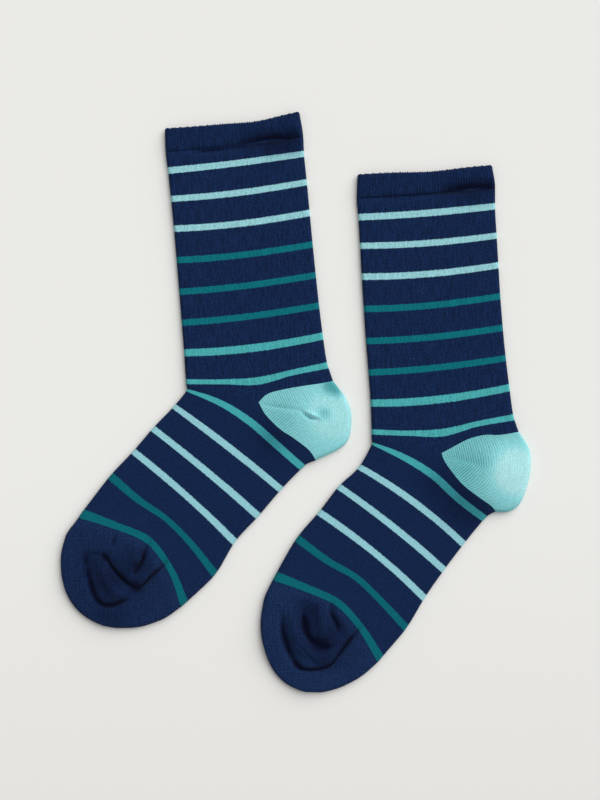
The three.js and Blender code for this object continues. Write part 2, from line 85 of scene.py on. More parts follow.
# A course is one row of stitches seen from above: where it meets the front fold, the middle of
# the side and the back fold. A course that isn't one even arc also has points between these. The
# two courses at the heel's seam have a corner at the ankle point, and follow the seam beyond it.
Course = namedtuple("Course", "knit front middle back front_half back_half corner", defaults=((), (), False))
LEFT_LEG_SEAM = [(5.5, 5.2), (14.8, 8), (28, 10.4), (39, 12)]
LEFT_FOOT_SEAM = [(4.6, -8), (13.6, -17), (22, -22.6), (32, -30.3)]
RIGHT_LEG_SEAM = [(5.5, 2.9), (17, 8.9), (27.5, 11.6), (37, 11.6)]
RIGHT_FOOT_SEAM = [(2.8, -6.4), (12.2, -18.6), (22, -26.8), (31.5, -33.5)]
LEFT_LEG = [
    Course(0, (-60, 174.5), (-17, 178.4), (26, 185.3)),
    Course(15, (-59.5, 160), (-16, 163.7), (28.5, 169.5)),
    Course(26, (-58, 148), (-14.5, 152.8), (29, 158.8)),
    Course(46, (-56.1, 130), (-12.6, 134), (30.8, 140.8)),
    Course(66, (-54.2, 111), (-10.8, 114.4), (32.6, 121.2)),
    Course(86, (-52.5, 90.9), (-9, 94.5), (34.5, 101.1)),
    Course(106, (-50.8, 70.7), (-7.1, 74.8), (36.5, 81.5)),
    Course(126, (-49.2, 50.9), (-5.2, 55.2), (38.6, 62)),
    Course(146, (-47.7, 31.8), (-3.2, 35), (41, 42.6)),
    Course(166, (-46.5, 13.1), (-0.8, 13.8), (44, 23.8), [(-22.5, 13)], [(22, 19.1)]),
    Course(169, (-46.4, 11.4), (-0.5, 10.9), (44.8, 21.5), [(-22.6, 11.3)], [(21, 16.7)]),
    Course(179, (-46, 10.5), (0, 0), (47.5, 13.7), [(-23, 5.5)], LEFT_LEG_SEAM, True),
]
LEFT_FOOT = [
    Course(0, (-46, 10.5), (0, 0), (36.5, -37), [(-23, 5.5)], LEFT_FOOT_SEAM, True),
    Course(11, (-45.7, 8.8), (-4, -9.5), (30.3, -39.6), [(-24, 2.2)], [(13.2, -24.5)]),
    Course(14, (-45.5, 8.2), (-5.7, -11.9), (28.3, -41.6), [(-24.7, 0)], [(11.3, -26.7)]),
    Course(17, (-46.4, 6.9), (-7.5, -14.3), (26.2, -43.5), [(-25.6, -2.4)], [(9.3, -28.9)]),
    Course(34, (-54, -2.3), (-19.5, -28), (14.5, -55.5)),
    Course(54, (-67.5, -16.5), (-33.5, -43.5), (0, -72.5)),
    Course(74, (-80, -31), (-47, -58.5), (-15, -89)),
    Course(94, (-94.5, -46.5), (-58.5, -74.5), (-27.5, -109.5), [(-76.5, -62)], [(-43, -90)]),
    Course(112, (-111.2, -68), (-68.4, -86.3), (-44.8, -126.5), [(-90, -76.4)], [(-54, -105.8)]),
    Course(114, (-113.2, -70.6), (-69.6, -88), (-47.1, -128.6), [(-91, -78.4)], [(-55.6, -106.9)]),
    Course(116, (-115, -73.4), (-71.2, -89.8), (-49.3, -130.5), [(-92.2, -80.4)], [(-57.2, -108.2)]),
    Course(135, (-123.5, -86), (-85.5, -104), (-63, -139.3)),
    Course(155, (-126.5, -101), (-100.5, -119), (-80.5, -144)),
    Course(165, (-126.1, -109.6), (-107.8, -126.3), (-89.9, -144.2)),
    Course(174, (-124.4, -117.5), (-115, -133.5), (-98.1, -143)),
]
RIGHT_LEG = [
    Course(0, (-53.5, 177.5), (-10.5, 180.5), (32.5, 183.5)),
    Course(15, (-54, 162.5), (-9.5, 165.3), (34.5, 169)),
    Course(26, (-53, 150.7), (-9, 153.4), (34.5, 157.8)),
    Course(46, (-51.9, 132.5), (-8, 134.3), (35.5, 139.1)),
    Course(66, (-50.8, 112.8), (-6.8, 114.7), (36.6, 120.2)),
    Course(86, (-49.5, 92.2), (-5.7, 94.6), (37.8, 100.5)),
    Course(106, (-48.1, 71.7), (-4.5, 74.4), (39.4, 80.3)),
    Course(126, (-46.5, 51.6), (-2.9, 54.8), (41.3, 60.9)),
    Course(146, (-45.1, 32.1), (-1, 34.6), (43.6, 42.1)),
    Course(166, (-44.5, 13.5), (1, 13.3), (46.3, 23), [(-20.8, 12.6)], [(23, 18.6)]),
    Course(169, (-44.5, 11.6), (0.9, 10.3), (47, 20.7), [(-21, 10.8)], [(22.5, 16.5)]),
    Course(179, (-44.5, 9), (0, 0), (49.5, 13.6), [(-22.5, 4.5)], RIGHT_LEG_SEAM, True),
]
RIGHT_FOOT = [
    Course(0, (-44.5, 9), (0, 0), (34.5, -37.5), [(-22.5, 4.5)], RIGHT_FOOT_SEAM, True),
    Course(11, (-44.2, 7.2), (-3.5, -11.5), (30, -39.9), [(-23.3, 0)], [(13, -26.8)]),
    Course(14, (-44, 6.3), (-5.4, -13.8), (27.9, -41.8), [(-24, -2.4)], [(11, -29)]),
    Course(17, (-44.5, 5.2), (-7.2, -16.2), (26, -43.9), [(-25, -4.8)], [(9.2, -31.2)]),
    Course(34, (-52.3, -8.7), (-17.5, -31), (14.5, -58)),
    Course(54, (-65.3, -21.2), (-31, -46.5), (2, -74.5)),
    Course(74, (-78, -37.5), (-42.8, -63.2), (-10.5, -92.5)),
    Course(94, (-92, -54), (-54.2, -79.2), (-22, -111.5), [(-72.5, -68.5)], [(-38.8, -93.7)]),
    Course(112, (-104.6, -75.4), (-64.2, -93.7), (-36.6, -129), [(-83.3, -84.4)], [(-49.7, -109.4)]),
    Course(114, (-106, -78), (-65.4, -95.4), (-38.4, -131.2), [(-84.5, -86.4)], [(-51.3, -110.8)]),
    Course(116, (-107.6, -80.8), (-66.8, -97.3), (-40.3, -133.4), [(-85.7, -88.5)], [(-52.9, -112.3)]),
    Course(135, (-113.5, -94.5), (-78.5, -112), (-54, -144.5)),
    Course(155, (-115.5, -110), (-91.5, -127.5), (-70, -151.5)),
    Course(165, (-114.7, -118.6), (-97.4, -136.2), (-78.3, -152.9)),
    Course(174, (-112.6, -126.5), (-103, -144), (-86.2, -152.7)),
]

# Outline of each heel from the leg's back fold to the foot's, seen from above.
LEFT_HEEL_OUTLINE = [(47.5, 13.7), (51.6, 8.2), (56, 2), (59.3, -9), (55.6, -26.2), (36.5, -37)]
RIGHT_HEEL_OUTLINE = [(49.5, 13.6), (56.6, 1), (56.4, -15), (50.8, -31.2), (43.5, -37.3), (34.5, -37.5)]

# A spot changes the cloth round a place by an amount that fades over its reach. These are the soft
# swellings and hollows of the upper layer.
Spot = namedtuple("Spot", "at reach amount")
LEFT_SWELLS = [
    Spot((40, -8), 19, 2.2),
    Spot((-87, -99), 13, 1.0),
    Spot((41.5, -7), 2.6, -0.35),
]
RIGHT_SWELLS = [
    Spot((40, -12), 19, 2.6),
    Spot((-80, -112), 13, 1.0),
    Spot((-105, -116), 15, 1.3),
    Spot((-84, -146), 12, 0.8),
]

# Folds of the upper layer. Each runs through its points and rises or sinks by its rise. It falls
# away over its right width on the side to the right, as seen along the fold, and over its left
# width on the other. A low edge gives a sharp crease, and an edge of 2 a soft trough or ridge.
Fold = namedtuple("Fold", "points right left rise edge", defaults=(1.3,))
LEFT_FOLDS = [
    Fold(
        [(-99.6, -97), (-96.4, -101), (-93, -106.4), (-86.8, -112.9), (-81.8, -117), (-77.2, -119.6)],
        right=0.75,
        left=1.5,
        rise=-3.3,
    ),
    Fold(
        [(-79.6, -119), (-77, -119.4), (-73.2, -116), (-68.3, -111), (-63, -106.2), (-58, -101.2)],
        right=0.7,
        left=1.2,
        rise=-3.2,
    ),
    Fold([(-92, -108), (-86.5, -114), (-82, -117.6)], 1.4, 1, -1),
    Fold([(-112, -93), (-110.6, -102), (-108.8, -111), (-107, -118)], 2.2, 3.4, -1.1, 1.8),
    Fold([(-108.4, -112), (-106.6, -119), (-103.8, -125.6), (-99.7, -129)], 1.7, 2.4, -2.5, 1.6),
    Fold([(-103, -127), (-99, -129.4), (-94, -129.6), (-89, -128), (-83.7, -125.6)], 1.3, 1.6, -3),
    Fold([(-101.5, -103), (-98, -113), (-92, -121), (-84, -123.4)], 3, 3, 1.9, 2),
    Fold([(-70.6, -90), (-73.4, -96), (-74.6, -100.4), (-77.3, -104.8), (-80, -109.6)], 0.7, 2, -2.9),
    Fold([(-78.5, -90), (-79.5, -98), (-82, -104)], 2.6, 2.6, 0.9, 2),
    Fold([(-91.6, -83.5), (-92.6, -88), (-94.5, -93)], 1.6, 2.4, -1.2, 1.6),
    Fold([(-112, -96.6), (-105, -96.8), (-97, -97.4)], 2, 1.3, -0.9, 1.6),
    Fold([(-66, -98), (-67, -104), (-71, -110)], 2.4, 2.4, 0.8, 2),
    Fold([(2.4, -1.7), (10.4, -2.8), (19.5, -4.2), (28.5, -5.6)], 1.2, 1.4, -0.7),
    Fold([(27.5, -6.2), (29.8, -8.4), (33.2, -10.4), (38, -11.2)], 0.8, 1.2, -1.5),
    Fold([(29.5, -5.6), (33.8, -7.6), (38.6, -9.6)], 1.3, 1.3, 1.2, 2),
    Fold([(-43, 160.2), (-27, 161.2), (-9, 163.6)], 1.1, 0.9, -2.3),
    Fold([(-17, 164), (5, 167), (27, 170)], 2.6, 4.6, -1.9, 2),
    Fold([(24, 176), (27, 168), (27.5, 158)], 2, 2, 0.5, 2),
]
RIGHT_FOLDS = [
    Fold([(-102.4, -102), (-101.2, -114), (-98, -124.8), (-94, -133), (-90, -137.4)], 2, 3, -2.8, 1.6),
    Fold([(-94, -134), (-90.2, -137.6), (-82.6, -138.6), (-73.6, -137), (-68.5, -133.6)], 0.9, 1.6, -3.3),
    Fold([(-70, -135), (-66.4, -130), (-60.8, -122.9), (-55, -115.4), (-51, -110.4)], 0.75, 2, -2.8),
    Fold([(-88.6, -102), (-88, -108), (-87, -114), (-83.4, -119.6)], 1.3, 2.6, -2.9, 1.5),
    Fold([(-85, -118), (-81, -121.4), (-76.2, -124), (-70, -123.8)], 1.5, 2.6, -2.6, 1.6),
    Fold([(-95.5, -104), (-93.5, -115), (-88, -125.5), (-80, -131), (-71, -128.5)], 2.8, 2.8, 1.8, 2),
    Fold([(-92.8, -120.3), (-88.3, -125.4), (-83.2, -131.2), (-79.4, -135)], 0.9, 1.8, -1.4),
    Fold([(-71, -95), (-70.4, -102), (-67.4, -108.6), (-65.4, -114)], 1.4, 2.6, -2.5, 1.6),
    Fold([(-78, -97), (-77.5, -105), (-75, -114)], 2.4, 2.4, 1.5, 2),
    Fold([(-50, 162.2), (-30, 163.2), (6, 166)], 1, 0.8, -1.9),
    Fold([(-2, 167), (18, 168.6), (38, 170.4)], 2.4, 4.4, -1.9, 2),
    Fold([(4, -3), (16, -5), (27, -8.5)], 2.4, 2.4, -0.4, 1.8),
]

# Shallow creases on the underside, where the weight of the cloth has pressed them in.
LEFT_UNDER_FOLDS = [
    Fold([(-104, -92), (-92, -112), (-72, -122)], 2.4, 2.4, 0.4),
    Fold([(-70, -86), (-80, -98), (-84, -112)], 2, 2, 0.3),
    Fold([(6, -2), (22, -5), (38, -10)], 2, 2, 0.3),
    Fold([(-44, 8), (-24, 1), (-6, -4)], 2.6, 2.6, 0.3),
]
RIGHT_UNDER_FOLDS = [
    Fold([(-100, -100), (-90, -122), (-66, -132)], 2.4, 2.4, 0.4),
    Fold([(-64, -96), (-74, -106), (-80, -122)], 2, 2, 0.3),
    Fold([(6, -3), (22, -7), (40, -14)], 2, 2, 0.3),
    Fold([(-42, 6), (-22, -1), (-6, -6)], 2.6, 2.6, 0.3),
]

# Soft shade between the rolls of the toes and in the hollows of the cuffs.
LEFT_SHADES = [
    Spot((-94, -114), 42, 0.33),
    Spot((-79, -104), 12, 0.3),
    Spot((-78.4, -117.8), 3.6, 0.95),
    Spot((-97.6, -98.8), 2.6, 0.6),
    Spot((-72, -93.6), 3, 0.6),
    Spot((-77.2, -104.4), 2.2, 0.6),
    Spot((-96, -114), 10, 0.36),
    Spot((-105, -101), 7, 0.2),
    Spot((-110.6, -100), 3, 0.3),
    Spot((-109, -109), 3, 0.34),
    Spot((-95, -136.5), 12, 0.26),
    Spot((-8, 165), 5, 0.35),
    Spot((1, 167), 6, 0.45),
    Spot((11, 168.6), 6, 0.5),
    Spot((21, 170), 6, 0.45),
    Spot((8, 161.5), 6, 0.4),
    Spot((20, 163), 6, 0.42),
]
RIGHT_SHADES = [
    Spot((-84, -111), 15, 0.48),
    Spot((-98, -122), 6, 0.1),
    Spot((-78, -125), 11, 0.42),
    Spot((-63, -113), 9, 0.5),
    Spot((-86.8, -110), 3.4, 0.45),
    Spot((-78.6, -121.6), 4, 0.4),
    Spot((-82, -97), 9, 0.5),
    Spot((-92, -135.5), 3, 0.45),
    Spot((-74, -121.5), 5, 0.26),
    Spot((-74.5, -133.6), 5, 0.3),
    Spot((-62, -130), 12, 0.16),
    Spot((2, 167.6), 5, 0.35),
    Spot((11, 168.6), 6, 0.45),
    Spot((21, 169.6), 6, 0.5),
    Spot((31, 170.4), 6, 0.45),
    Spot((19, 163), 7, 0.2),
]

# Shade on the foot where its knit dips beside the puffed heel.
LEFT_SOLE_SHADES = [Spot((8, -23.5), 11, 0.42)]
RIGHT_SOLE_SHADES = [Spot((-4, -19), 9, 0.33), Spot((12, -30), 14, 0.52), Spot((24, -40), 9, 0.3)]

# Where the heels' knit is stretched further than round it.
LEFT_STRAINS = [
    Spot((45.5, 11), 4.4, 1.5),
    Spot((49.8, 8), 3.8, 1.2),
    Spot((41.4, -7.2), 3.6, 0.5),
    Spot((10, -14), 12, 0.25),
]
RIGHT_STRAINS = [Spot((26, -5), 6, 0.35), Spot((12, -12), 12, 0.2)]

# Where the mouth's edge sags: its share of the way from the front fold, reach and depth.
Sag = namedtuple("Sag", "share reach depth")
LEFT_SAG = Sag(0.68, 0.17, 1.3)
RIGHT_SAG = Sag(0.55, 0.22, 1.1)

Sock = namedtuple(
    "Sock", "side ankle leg foot outline swells folds under_folds shades sole_shades strains sag stretch"
)
SOCKS = [
    Sock(
        side="left",
        ankle=LEFT_ANKLE,
        leg=LEFT_LEG,
        foot=LEFT_FOOT,
        outline=LEFT_HEEL_OUTLINE,
        swells=LEFT_SWELLS,
        folds=LEFT_FOLDS,
        under_folds=LEFT_UNDER_FOLDS,
        shades=LEFT_SHADES,
        sole_shades=LEFT_SOLE_SHADES,
        strains=LEFT_STRAINS,
        sag=LEFT_SAG,
        stretch=(0.14, 0.57),
    ),
    Sock(
        side="right",
        ankle=RIGHT_ANKLE,
        leg=RIGHT_LEG,
        foot=RIGHT_FOOT,
        outline=RIGHT_HEEL_OUTLINE,
        swells=RIGHT_SWELLS,
        folds=RIGHT_FOLDS,
        under_folds=RIGHT_UNDER_FOLDS,
        shades=RIGHT_SHADES,
        sole_shades=RIGHT_SOLE_SHADES,
        strains=RIGHT_STRAINS,
        sag=RIGHT_SAG,
        stretch=(0.05, 0.92),
    ),
]

# Fineness of the drawn curves and of the meshes. Two columns of points make one wale, a column of
# stitches: its crest and the gap beside it.
ARC_STEPS = 48
FOLD_STEPS = 10
COLUMNS_PER_WALE = 2
CUFF_ROW_STEP = 0.75
TUBE_ROW_STEP = 1.5
TOE_ROW_STEP = 0.9
INNER_ROW_STEP = 6
HEEL_ROWS = 60
SAME_POINT = 2e-6
SMOOTH_ANGLE = 60

# Least space between the two layers of a sock, how much higher than that the upper layer's outside
# stays, and least radius of an inner fold.
LEAST_HOLLOW = 0.3
LEAST_CLOTH = 1.8
LEAST_FOLD_RADIUS = 0.4

# How much wider than high the rounding of a tube's fold is. A crease reaches this many of its
# widths to each side, and stops fading at this share of its length from its ends.
FOLD_SOFTNESS = 1.25
CREASE_REACH = 3.5
CREASE_END = 0.03

# How far a crease sinks before it shades the cloth, and how much further until it is darkest.
SHADE_START = 0.5
SHADE_RANGE = 2.4

# Heights of the slow waves in cloth that has been laid down by hand.
SLACK_ACROSS = 0.12
SLACK_ALONG = 0.1

# Turns of the mouth's rounded edge and of the toe's blunt end in degrees, row by row. The toe's
# inside ends this many walls short of its outside.
MOUTH_TURN = [150, 120, 90, 60, 30]
TOE_TURN = [75, 60, 45, 32, 20, 9, 0]
TOE_END_WALLS = 1.3

# Ribs at the mouth's edge: how far their crests stand out, how far down that fades, how uneven
# they are, how fast that changes from rib to rib, and the share of a crest by which the whole
# edge lies further out.
RIB_CREST = 0.5
RIB_LENGTH = 3
RIB_UNEVENNESS = 0.3
RIB_CHANGE = 2.3
RIB_BASE = 0.4

# Lengths of knitting over which a sag of the mouth's edge fades, the toe's shade sets in, and the
# toe's raised wales fade.
SAG_LENGTH = 12
TOE_SHADE_LENGTH = 6
TOE_WALE_LENGTH = 12

# Share of the way across the heel at which its wales begin to run round with the outline, and how
# gently they turn at its gore, least and most. The heel is knitted in fewer and wider wales.
HEEL_TURN = 0.3
GORE_ROUNDING = 0.02
HEEL_ROUNDING = 0.5
HEEL_WALE_SHARE = 0.68

# The heel's knit lies close as far as this from its middle, and is stretched more and more over
# the next length. Its middle lies beside the top of its swelling, where the close knit also gets a painted
# sheen.
HEEL_CLOSE = 12
HEEL_STRETCH_LENGTH = 20
HEEL_MIDDLE = (8, 0)

# Depth of the heel's gaps: how many times that of the other wales, the share of it that is left
# where the knit lies close, and the share that full stretch adds. The pocket's knitting covers a
# share of its width times its length.
HEEL_GAP_DEPTH = 1.2
CLOSE_DEPTH = 0.1
STRETCH_DEPTH = 1.2
HEEL_AREA_SHARE = 0.62

# How many steps along a tube its flat size is measured in, and twice as many across.
CUT_STEPS = 12

# Loops: how far they slant within a wale, in courses, and how much of their height comes and goes
# from course to course. Width of the toe's wales.
LOOP_SLANT = 0.55
LOOP_RISE = 0.6
TOE_WALE_WIDTH = 0.85

# Edges of the stripes: how soft they are, how far they wander, and how far they differ from wale
# to wale. Greatest half width of a stripe, and how uneven its yarn is beside the navy.
STRIPE_SOFTNESS = 0.1
STRIPE_WANDER = (-0.18, -0.04)
STRIPE_JITTER = 0.22
GREATEST_HALF_WIDTH = 4
STRIPE_UNEVENNESS = 0.45

# Painted highlight on the loops' crests and painted shade in their gaps: how much brighter the crests are
# than plain yarn and how much darker the gaps. How strong and how high the loops' relief is, and how much of
# it the fibres add.
CREST_LIGHT = 0.14
GAP_DARKNESS = 0.3
RELIEF_STRENGTH = 0.7
RELIEF_HEIGHT = 0.22
FIBRE_RELIEF = 0.5

# What the deepest shade leaves of the navy and of the aqua yarn.
NAVY_SHADE = (0.04, 0.11, 0.24, 1)
AQUA_SHADE = (0.42, 0.74, 0.74, 1)

# The stage in metres: the surface's size, its gap below the socks and where its painted shade towards the
# toes sets in, the light's place, and the middle of the view. The camera's sensor is in millimetres.
FLOOR_SIZE = 8
FLOOR_GAP = 0.0002
FLOOR_CHANGE = (-0.05, -0.28)
KEY_PLACE = (0.8, 0.8, 0.95)
VIEW_MIDDLE = (2.68 * MM, 1.48 * MM)
SENSOR = 36


def size_property(name, description, millimetres):
    return FloatProperty(name=name, description=description, default=millimetres * MM, unit="LENGTH")


def colour_property(name, description, default):
    return FloatVectorProperty(
        name=name, description=description, default=default, subtype="COLOR", size=3, min=0, max=1
    )


class SockSizes(PropertyGroup):
    wales: IntProperty(
        name="Wales", description="Columns of stitches across one layer", default=108, min=40, max=160
    )
    course_height: size_property("Course height", "Height of one row of stitches", 0.9)
    wale_depth: size_property("Wale depth", "Depth of the gap between two wales", 0.16)
    rib_depth: size_property("Rib depth", "Depth of the gap between two ribs of the cuff", 0.34)
    cuff_wall: size_property("Cuff", "Thickness of the doubled cuff", 1.9)
    leg_wall: size_property("Leg", "Thickness of the leg's knit", 1.3)
    heel_wall: size_property("Heel", "Thickness of the heel's knit", 1.6)
    foot_wall: size_property("Foot", "Thickness of the foot's knit", 1.3)
    toe_wall: size_property("Toe", "Thickness of the toe's knit", 1.6)
    stripe_half_width: size_property("Stripe half width", "Half the width of a stripe", 2.05)
    wide_half_width: size_property("Wide half width", "Half the width of the stripes nearest the heel", 2.35)


class SockColours(PropertyGroup):
    ground: colour_property("Ground", "Leg and foot between the stripes", (0.0046, 0.018, 0.0695))
    cuff: colour_property("Cuff", "Ribbed cuff", (0.0042, 0.0172, 0.067))
    # The toe's navy is lighter than the ground's: a painted highlight where the light grazes the raised toe.
    toe: colour_property("Toe", "Toe", (0.007, 0.0228, 0.079))
    pale: colour_property("Pale stripes", "Palest stripes of the leg", (0.315, 0.64, 0.69))
    teal: colour_property("Teal stripes", "Darkest stripes of the leg", (0.002, 0.158, 0.195))
    aqua: colour_property("Aqua stripes", "Stripes of the leg nearest the heel", (0.07, 0.42, 0.435))
    foot_pale: colour_property("Foot's pale stripes", "Palest stripes of the foot", (0.306, 0.629, 0.7))
    foot_teal: colour_property("Foot's teal stripes", "Darkest stripes of the foot", (0.001, 0.13, 0.162))
    foot_aqua: colour_property("Foot's aqua stripe", "Stripe over the instep", (0.057, 0.408, 0.431))
    heel: colour_property("Heel", "Heel", (0.29, 0.69, 0.72))
    # Painted sheen: the paler colour of the heel where its loops lie close, round the top of its swelling.
    heel_glow: colour_property("Heel glow", "Heel where its loops lie close", (0.385, 0.665, 0.68))
    # Also the colour of the painted shade in the heel's creases.
    heel_gap: colour_property("Heel gaps", "Gaps of the heel where it is stretched", (0.05, 0.32, 0.34))


class StageSettings(PropertyGroup):
    floor: colour_property("Floor", "Surface", (0.815, 0.81, 0.785))
    # Painted shade: the surface is darker towards the toes.
    shaded_floor: colour_property("Near floor", "Surface towards the toes", (0.76, 0.75, 0.725))
    view_height: size_property("View height", "Height of the picture on the surface", 512)
    lens: FloatProperty(name="Lens", description="Focal length in millimetres", default=85, min=20, max=300)
    key_strength: FloatProperty(name="Key light", description="Strength of the sun lamp", default=2.9, min=0)
    key_angle: FloatProperty(
        name="Key softness", description="How wide the sun lamp is", default=1.2, subtype="ANGLE"
    )
    fill: FloatProperty(name="Fill", description="Strength of the light from all round", default=0.42, min=0)


def smooth_value(places, values, place):
    """Value between the rows of a table, on a curve through them that never overshoots."""
    places = np.asarray(places, float)
    values = np.asarray(values, float)
    gaps = np.diff(places).reshape((-1,) + (1,) * (values.ndim - 1))
    steps = np.diff(values, axis=0) / gaps
    before, after = steps[:-1], steps[1:]
    total = np.where(before * after > 0, before + after, 1)
    inner = np.where(before * after > 0, 2 * before * after / total, 0)
    slopes = np.concatenate([steps[:1], inner, steps[-1:]])
    row = int(np.clip(np.searchsorted(places, place, side="right") - 1, 0, len(places) - 2))
    step = places[row + 1] - places[row]
    t = (place - places[row]) / step
    level = values[row] + (values[row + 1] - values[row]) * t * t * (3 - 2 * t)
    return level + step * (slopes[row] * t * (1 - t) ** 2 + slopes[row + 1] * t * t * (t - 1))


def height_at(heights, knit):
    return float(smooth_value([entry.knit for entry in heights], [entry.height for entry in heights], knit))


def arc_through(start, middle, end):
    """Points of a curve that passes from one point through another, half way along, to a third."""
    start, middle, end = (np.array(point, float) for point in (start, middle, end))
    bend = 2 * middle - (start + end) / 2
    t = np.linspace(0, 1, ARC_STEPS + 1)[:, None]
    return (1 - t) ** 2 * start + 2 * t * (1 - t) * bend + t * t * end


def spline_through(points, steps=ARC_STEPS // 4):
    """Points of a smooth curve through all the points given."""
    points = np.array([points[0], *points, points[-1]], float)
    t = np.linspace(0, 1, steps + 1)[:-1, None]
    stretches = []
    for before, start, end, after in zip(points, points[1:], points[2:], points[3:]):
        leave = (end - before) / 2
        arrive = (after - start) / 2
        cubic = (2 * start - 2 * end + leave + arrive) * t**3
        square = (3 * end - 3 * start - 2 * leave - arrive) * t**2
        stretches.append(cubic + square + leave * t + start)
    return np.vstack([*stretches, points[-1:]])


def along(curve, shares):
    """Points at shares of a curve's length."""
    lengths = np.concatenate([[0], np.cumsum(np.linalg.norm(np.diff(curve, axis=0), axis=1))])
    places = np.asarray(shares) * lengths[-1]
    return np.stack([np.interp(places, lengths, curve[:, axis]) for axis in (0, 1)], axis=-1)


def course_points(course, shares):
    """Places on a course, seen from above, at shares of its length from the front fold."""
    front = [course.front, *course.front_half, course.middle]
    back = [course.middle, *course.back_half, course.back]
    if course.corner:
        near = along(spline_through(front), np.clip(2 * shares, 0, 1))
        far = along(spline_through(back), np.clip(2 * shares - 1, 0, 1))
        return np.where(shares[:, None] < 0.5, near, far)
    if course.front_half:
        return along(spline_through(front + back[1:]), shares)
    return along(arc_through(course.front, course.middle, course.back), shares)


def tube_place(courses, shares, knit):
    """Places on a tube, seen from above: shares of the way from the front fold to the back fold."""
    points = np.stack([course_points(course, shares) for course in courses])
    return smooth_value([course.knit for course in courses], points, knit)


def course_length(courses, knit):
    points = tube_place(courses, np.linspace(0, 1, ARC_STEPS + 1), knit)
    return float(np.linalg.norm(np.diff(points, axis=0), axis=1).sum())


def fold_rise(fold, places):
    """How far one fold raises the places given."""
    curve = spline_through(fold.points, FOLD_STEPS)
    reach = CREASE_REACH * max(fold.right, fold.left)
    low, high = curve.min(axis=0) - reach, curve.max(axis=0) + reach
    near = np.all((places > low) & (places < high), axis=1)
    rise = np.zeros(len(places))
    if not near.any():
        return rise
    points = places[near]
    starts, steps = curve[:-1], np.diff(curve, axis=0)
    lengths = np.linalg.norm(steps, axis=1)
    walked = np.concatenate([[0], np.cumsum(lengths)])
    offsets = points[:, None, :] - starts[None]
    share = np.clip((offsets * steps).sum(axis=2) / lengths**2, 0, 1)
    gaps = offsets - share[:, :, None] * steps
    distance = np.linalg.norm(gaps, axis=2)
    nearest = distance.argmin(axis=1)
    rows = np.arange(len(points))
    offset, step = offsets[rows, nearest], steps[nearest]
    left = step[:, 0] * offset[:, 1] - step[:, 1] * offset[:, 0] > 0
    width = np.where(left, fold.left, fold.right)
    progress = (walked[nearest] + share[rows, nearest] * lengths[nearest]) / walked[-1]
    ends = np.sqrt(np.sin(np.pi * np.clip(progress, CREASE_END, 1 - CREASE_END)))
    rise[near] = fold.rise * ends * np.exp(-((distance[rows, nearest] / width) ** fold.edge))
    return rise


def spots_at(spots, places):
    """What all the spots together add at the places given."""

    def one(spot):
        distance = np.linalg.norm(places - np.array(spot.at), axis=1)
        return spot.amount * np.exp(-((distance / spot.reach) ** 2))

    return sum(one(spot) for spot in spots)


def slack(places):
    """Slight unevenness of cloth that has been laid down by hand."""
    x, y = places.T
    across = SLACK_ACROSS * np.sin(x / 9 + 0.7 * np.sin(y / 17))
    return across + SLACK_ALONG * np.sin(y / 13 + 0.05 * x + 1.3)


def fold_profile(distance, radius):
    """Way in from a fold's edge and lift of the cloth, for a distance walked from the edge."""
    wide = FOLD_SOFTNESS * radius
    quarter = math.pi / 4 * (wide + radius)
    angle = np.minimum(distance / quarter, 1) * math.pi / 2
    beyond = np.maximum(distance - quarter, 0)
    return wide * (1 - np.cos(angle)) + beyond, np.sin(angle)


def ring_profile(length, full, inset, columns):
    """One turn round a tube, over the upper layer and back under the lower one: shares of the way
    from the front fold to the back fold, lifts, and which points are on the upper layer."""
    radius = max(LEAST_FOLD_RADIUS, full / 2 - inset)
    inner_length = length - 2 * inset
    wide = FOLD_SOFTNESS * radius
    half_turn = inner_length - 2 * wide + math.pi / 2 * (wide + radius)
    walked = np.linspace(0, 2 * half_turn, columns + 1)
    upper = walked <= half_turn
    walked = np.where(upper, walked, 2 * half_turn - walked)
    from_front = walked <= half_turn / 2
    way, lift = fold_profile(np.where(from_front, walked, half_turn - walked), radius)
    place = np.where(from_front, way, inner_length - way) + inset
    return place / length, lift, upper


def layer_heights(sock, places, lift, upper, full, inset):
    """Heights of a row's points above the surface, and how deep in shade they lie, from 0 to 1."""
    top = full - inset + slack(places) + spots_at(sock.swells, places)
    sunk = np.zeros(len(places))
    for fold in sock.folds:
        rise = fold_rise(fold, places)
        top += rise
        sunk -= np.minimum(rise, 0)
    top = np.maximum(top, inset + LEAST_HOLLOW + (0 if inset else LEAST_CLOTH))
    bottom = inset + sum(fold_rise(fold, places) for fold in sock.under_folds)
    shade = np.clip((sunk - SHADE_START) / SHADE_RANGE, 0, 1) + spots_at(sock.shades, places)
    middle = full / 2
    heights = middle + (np.where(upper, top, bottom) - middle) * lift
    return heights, np.where(upper & (inset == 0), np.clip(shade, 0, 1), 0)


Row = namedtuple("Row", "knit inset end_lift")


def tube_rows(start, end, step, wall, round_start=False):
    """Rows of a piece that is open at both ends: down its outside, up its inside, and back to the
    first one. A rounded start turns over like a folded edge."""
    half = wall / 2
    first = start + half if round_start else start
    outside = np.linspace(first, end, max(2, round((end - first) / step)) + 1)
    inside = np.linspace(end, first, max(2, round((end - first) / INNER_ROW_STEP)) + 1)
    rows = [Row(knit, 0, 1) for knit in outside] + [Row(knit, wall, 1) for knit in inside]
    if round_start:
        for angle in np.radians(MOUTH_TURN):
            rows.append(Row(first - half * math.sin(angle), half * (1 - math.cos(angle)), 1))
    return rows + [rows[0]]


def toe_rows(start, end, step, wall, radius):
    """Rows of the toe: from the blunt end of its inside up to its seam, and down its outside to
    its blunt end."""

    def closed(inset):
        last = end - TOE_END_WALLS * inset
        body = np.linspace(start, last - radius, max(2, round((last - radius - start) / step)) + 1)
        rows = [Row(knit, inset, 1) for knit in body]
        for angle in np.radians(TOE_TURN):
            rows.append(Row(last - radius * (1 - math.cos(angle)), inset, math.sin(angle)))
        return rows

    return closed(wall)[::-1] + closed(0)


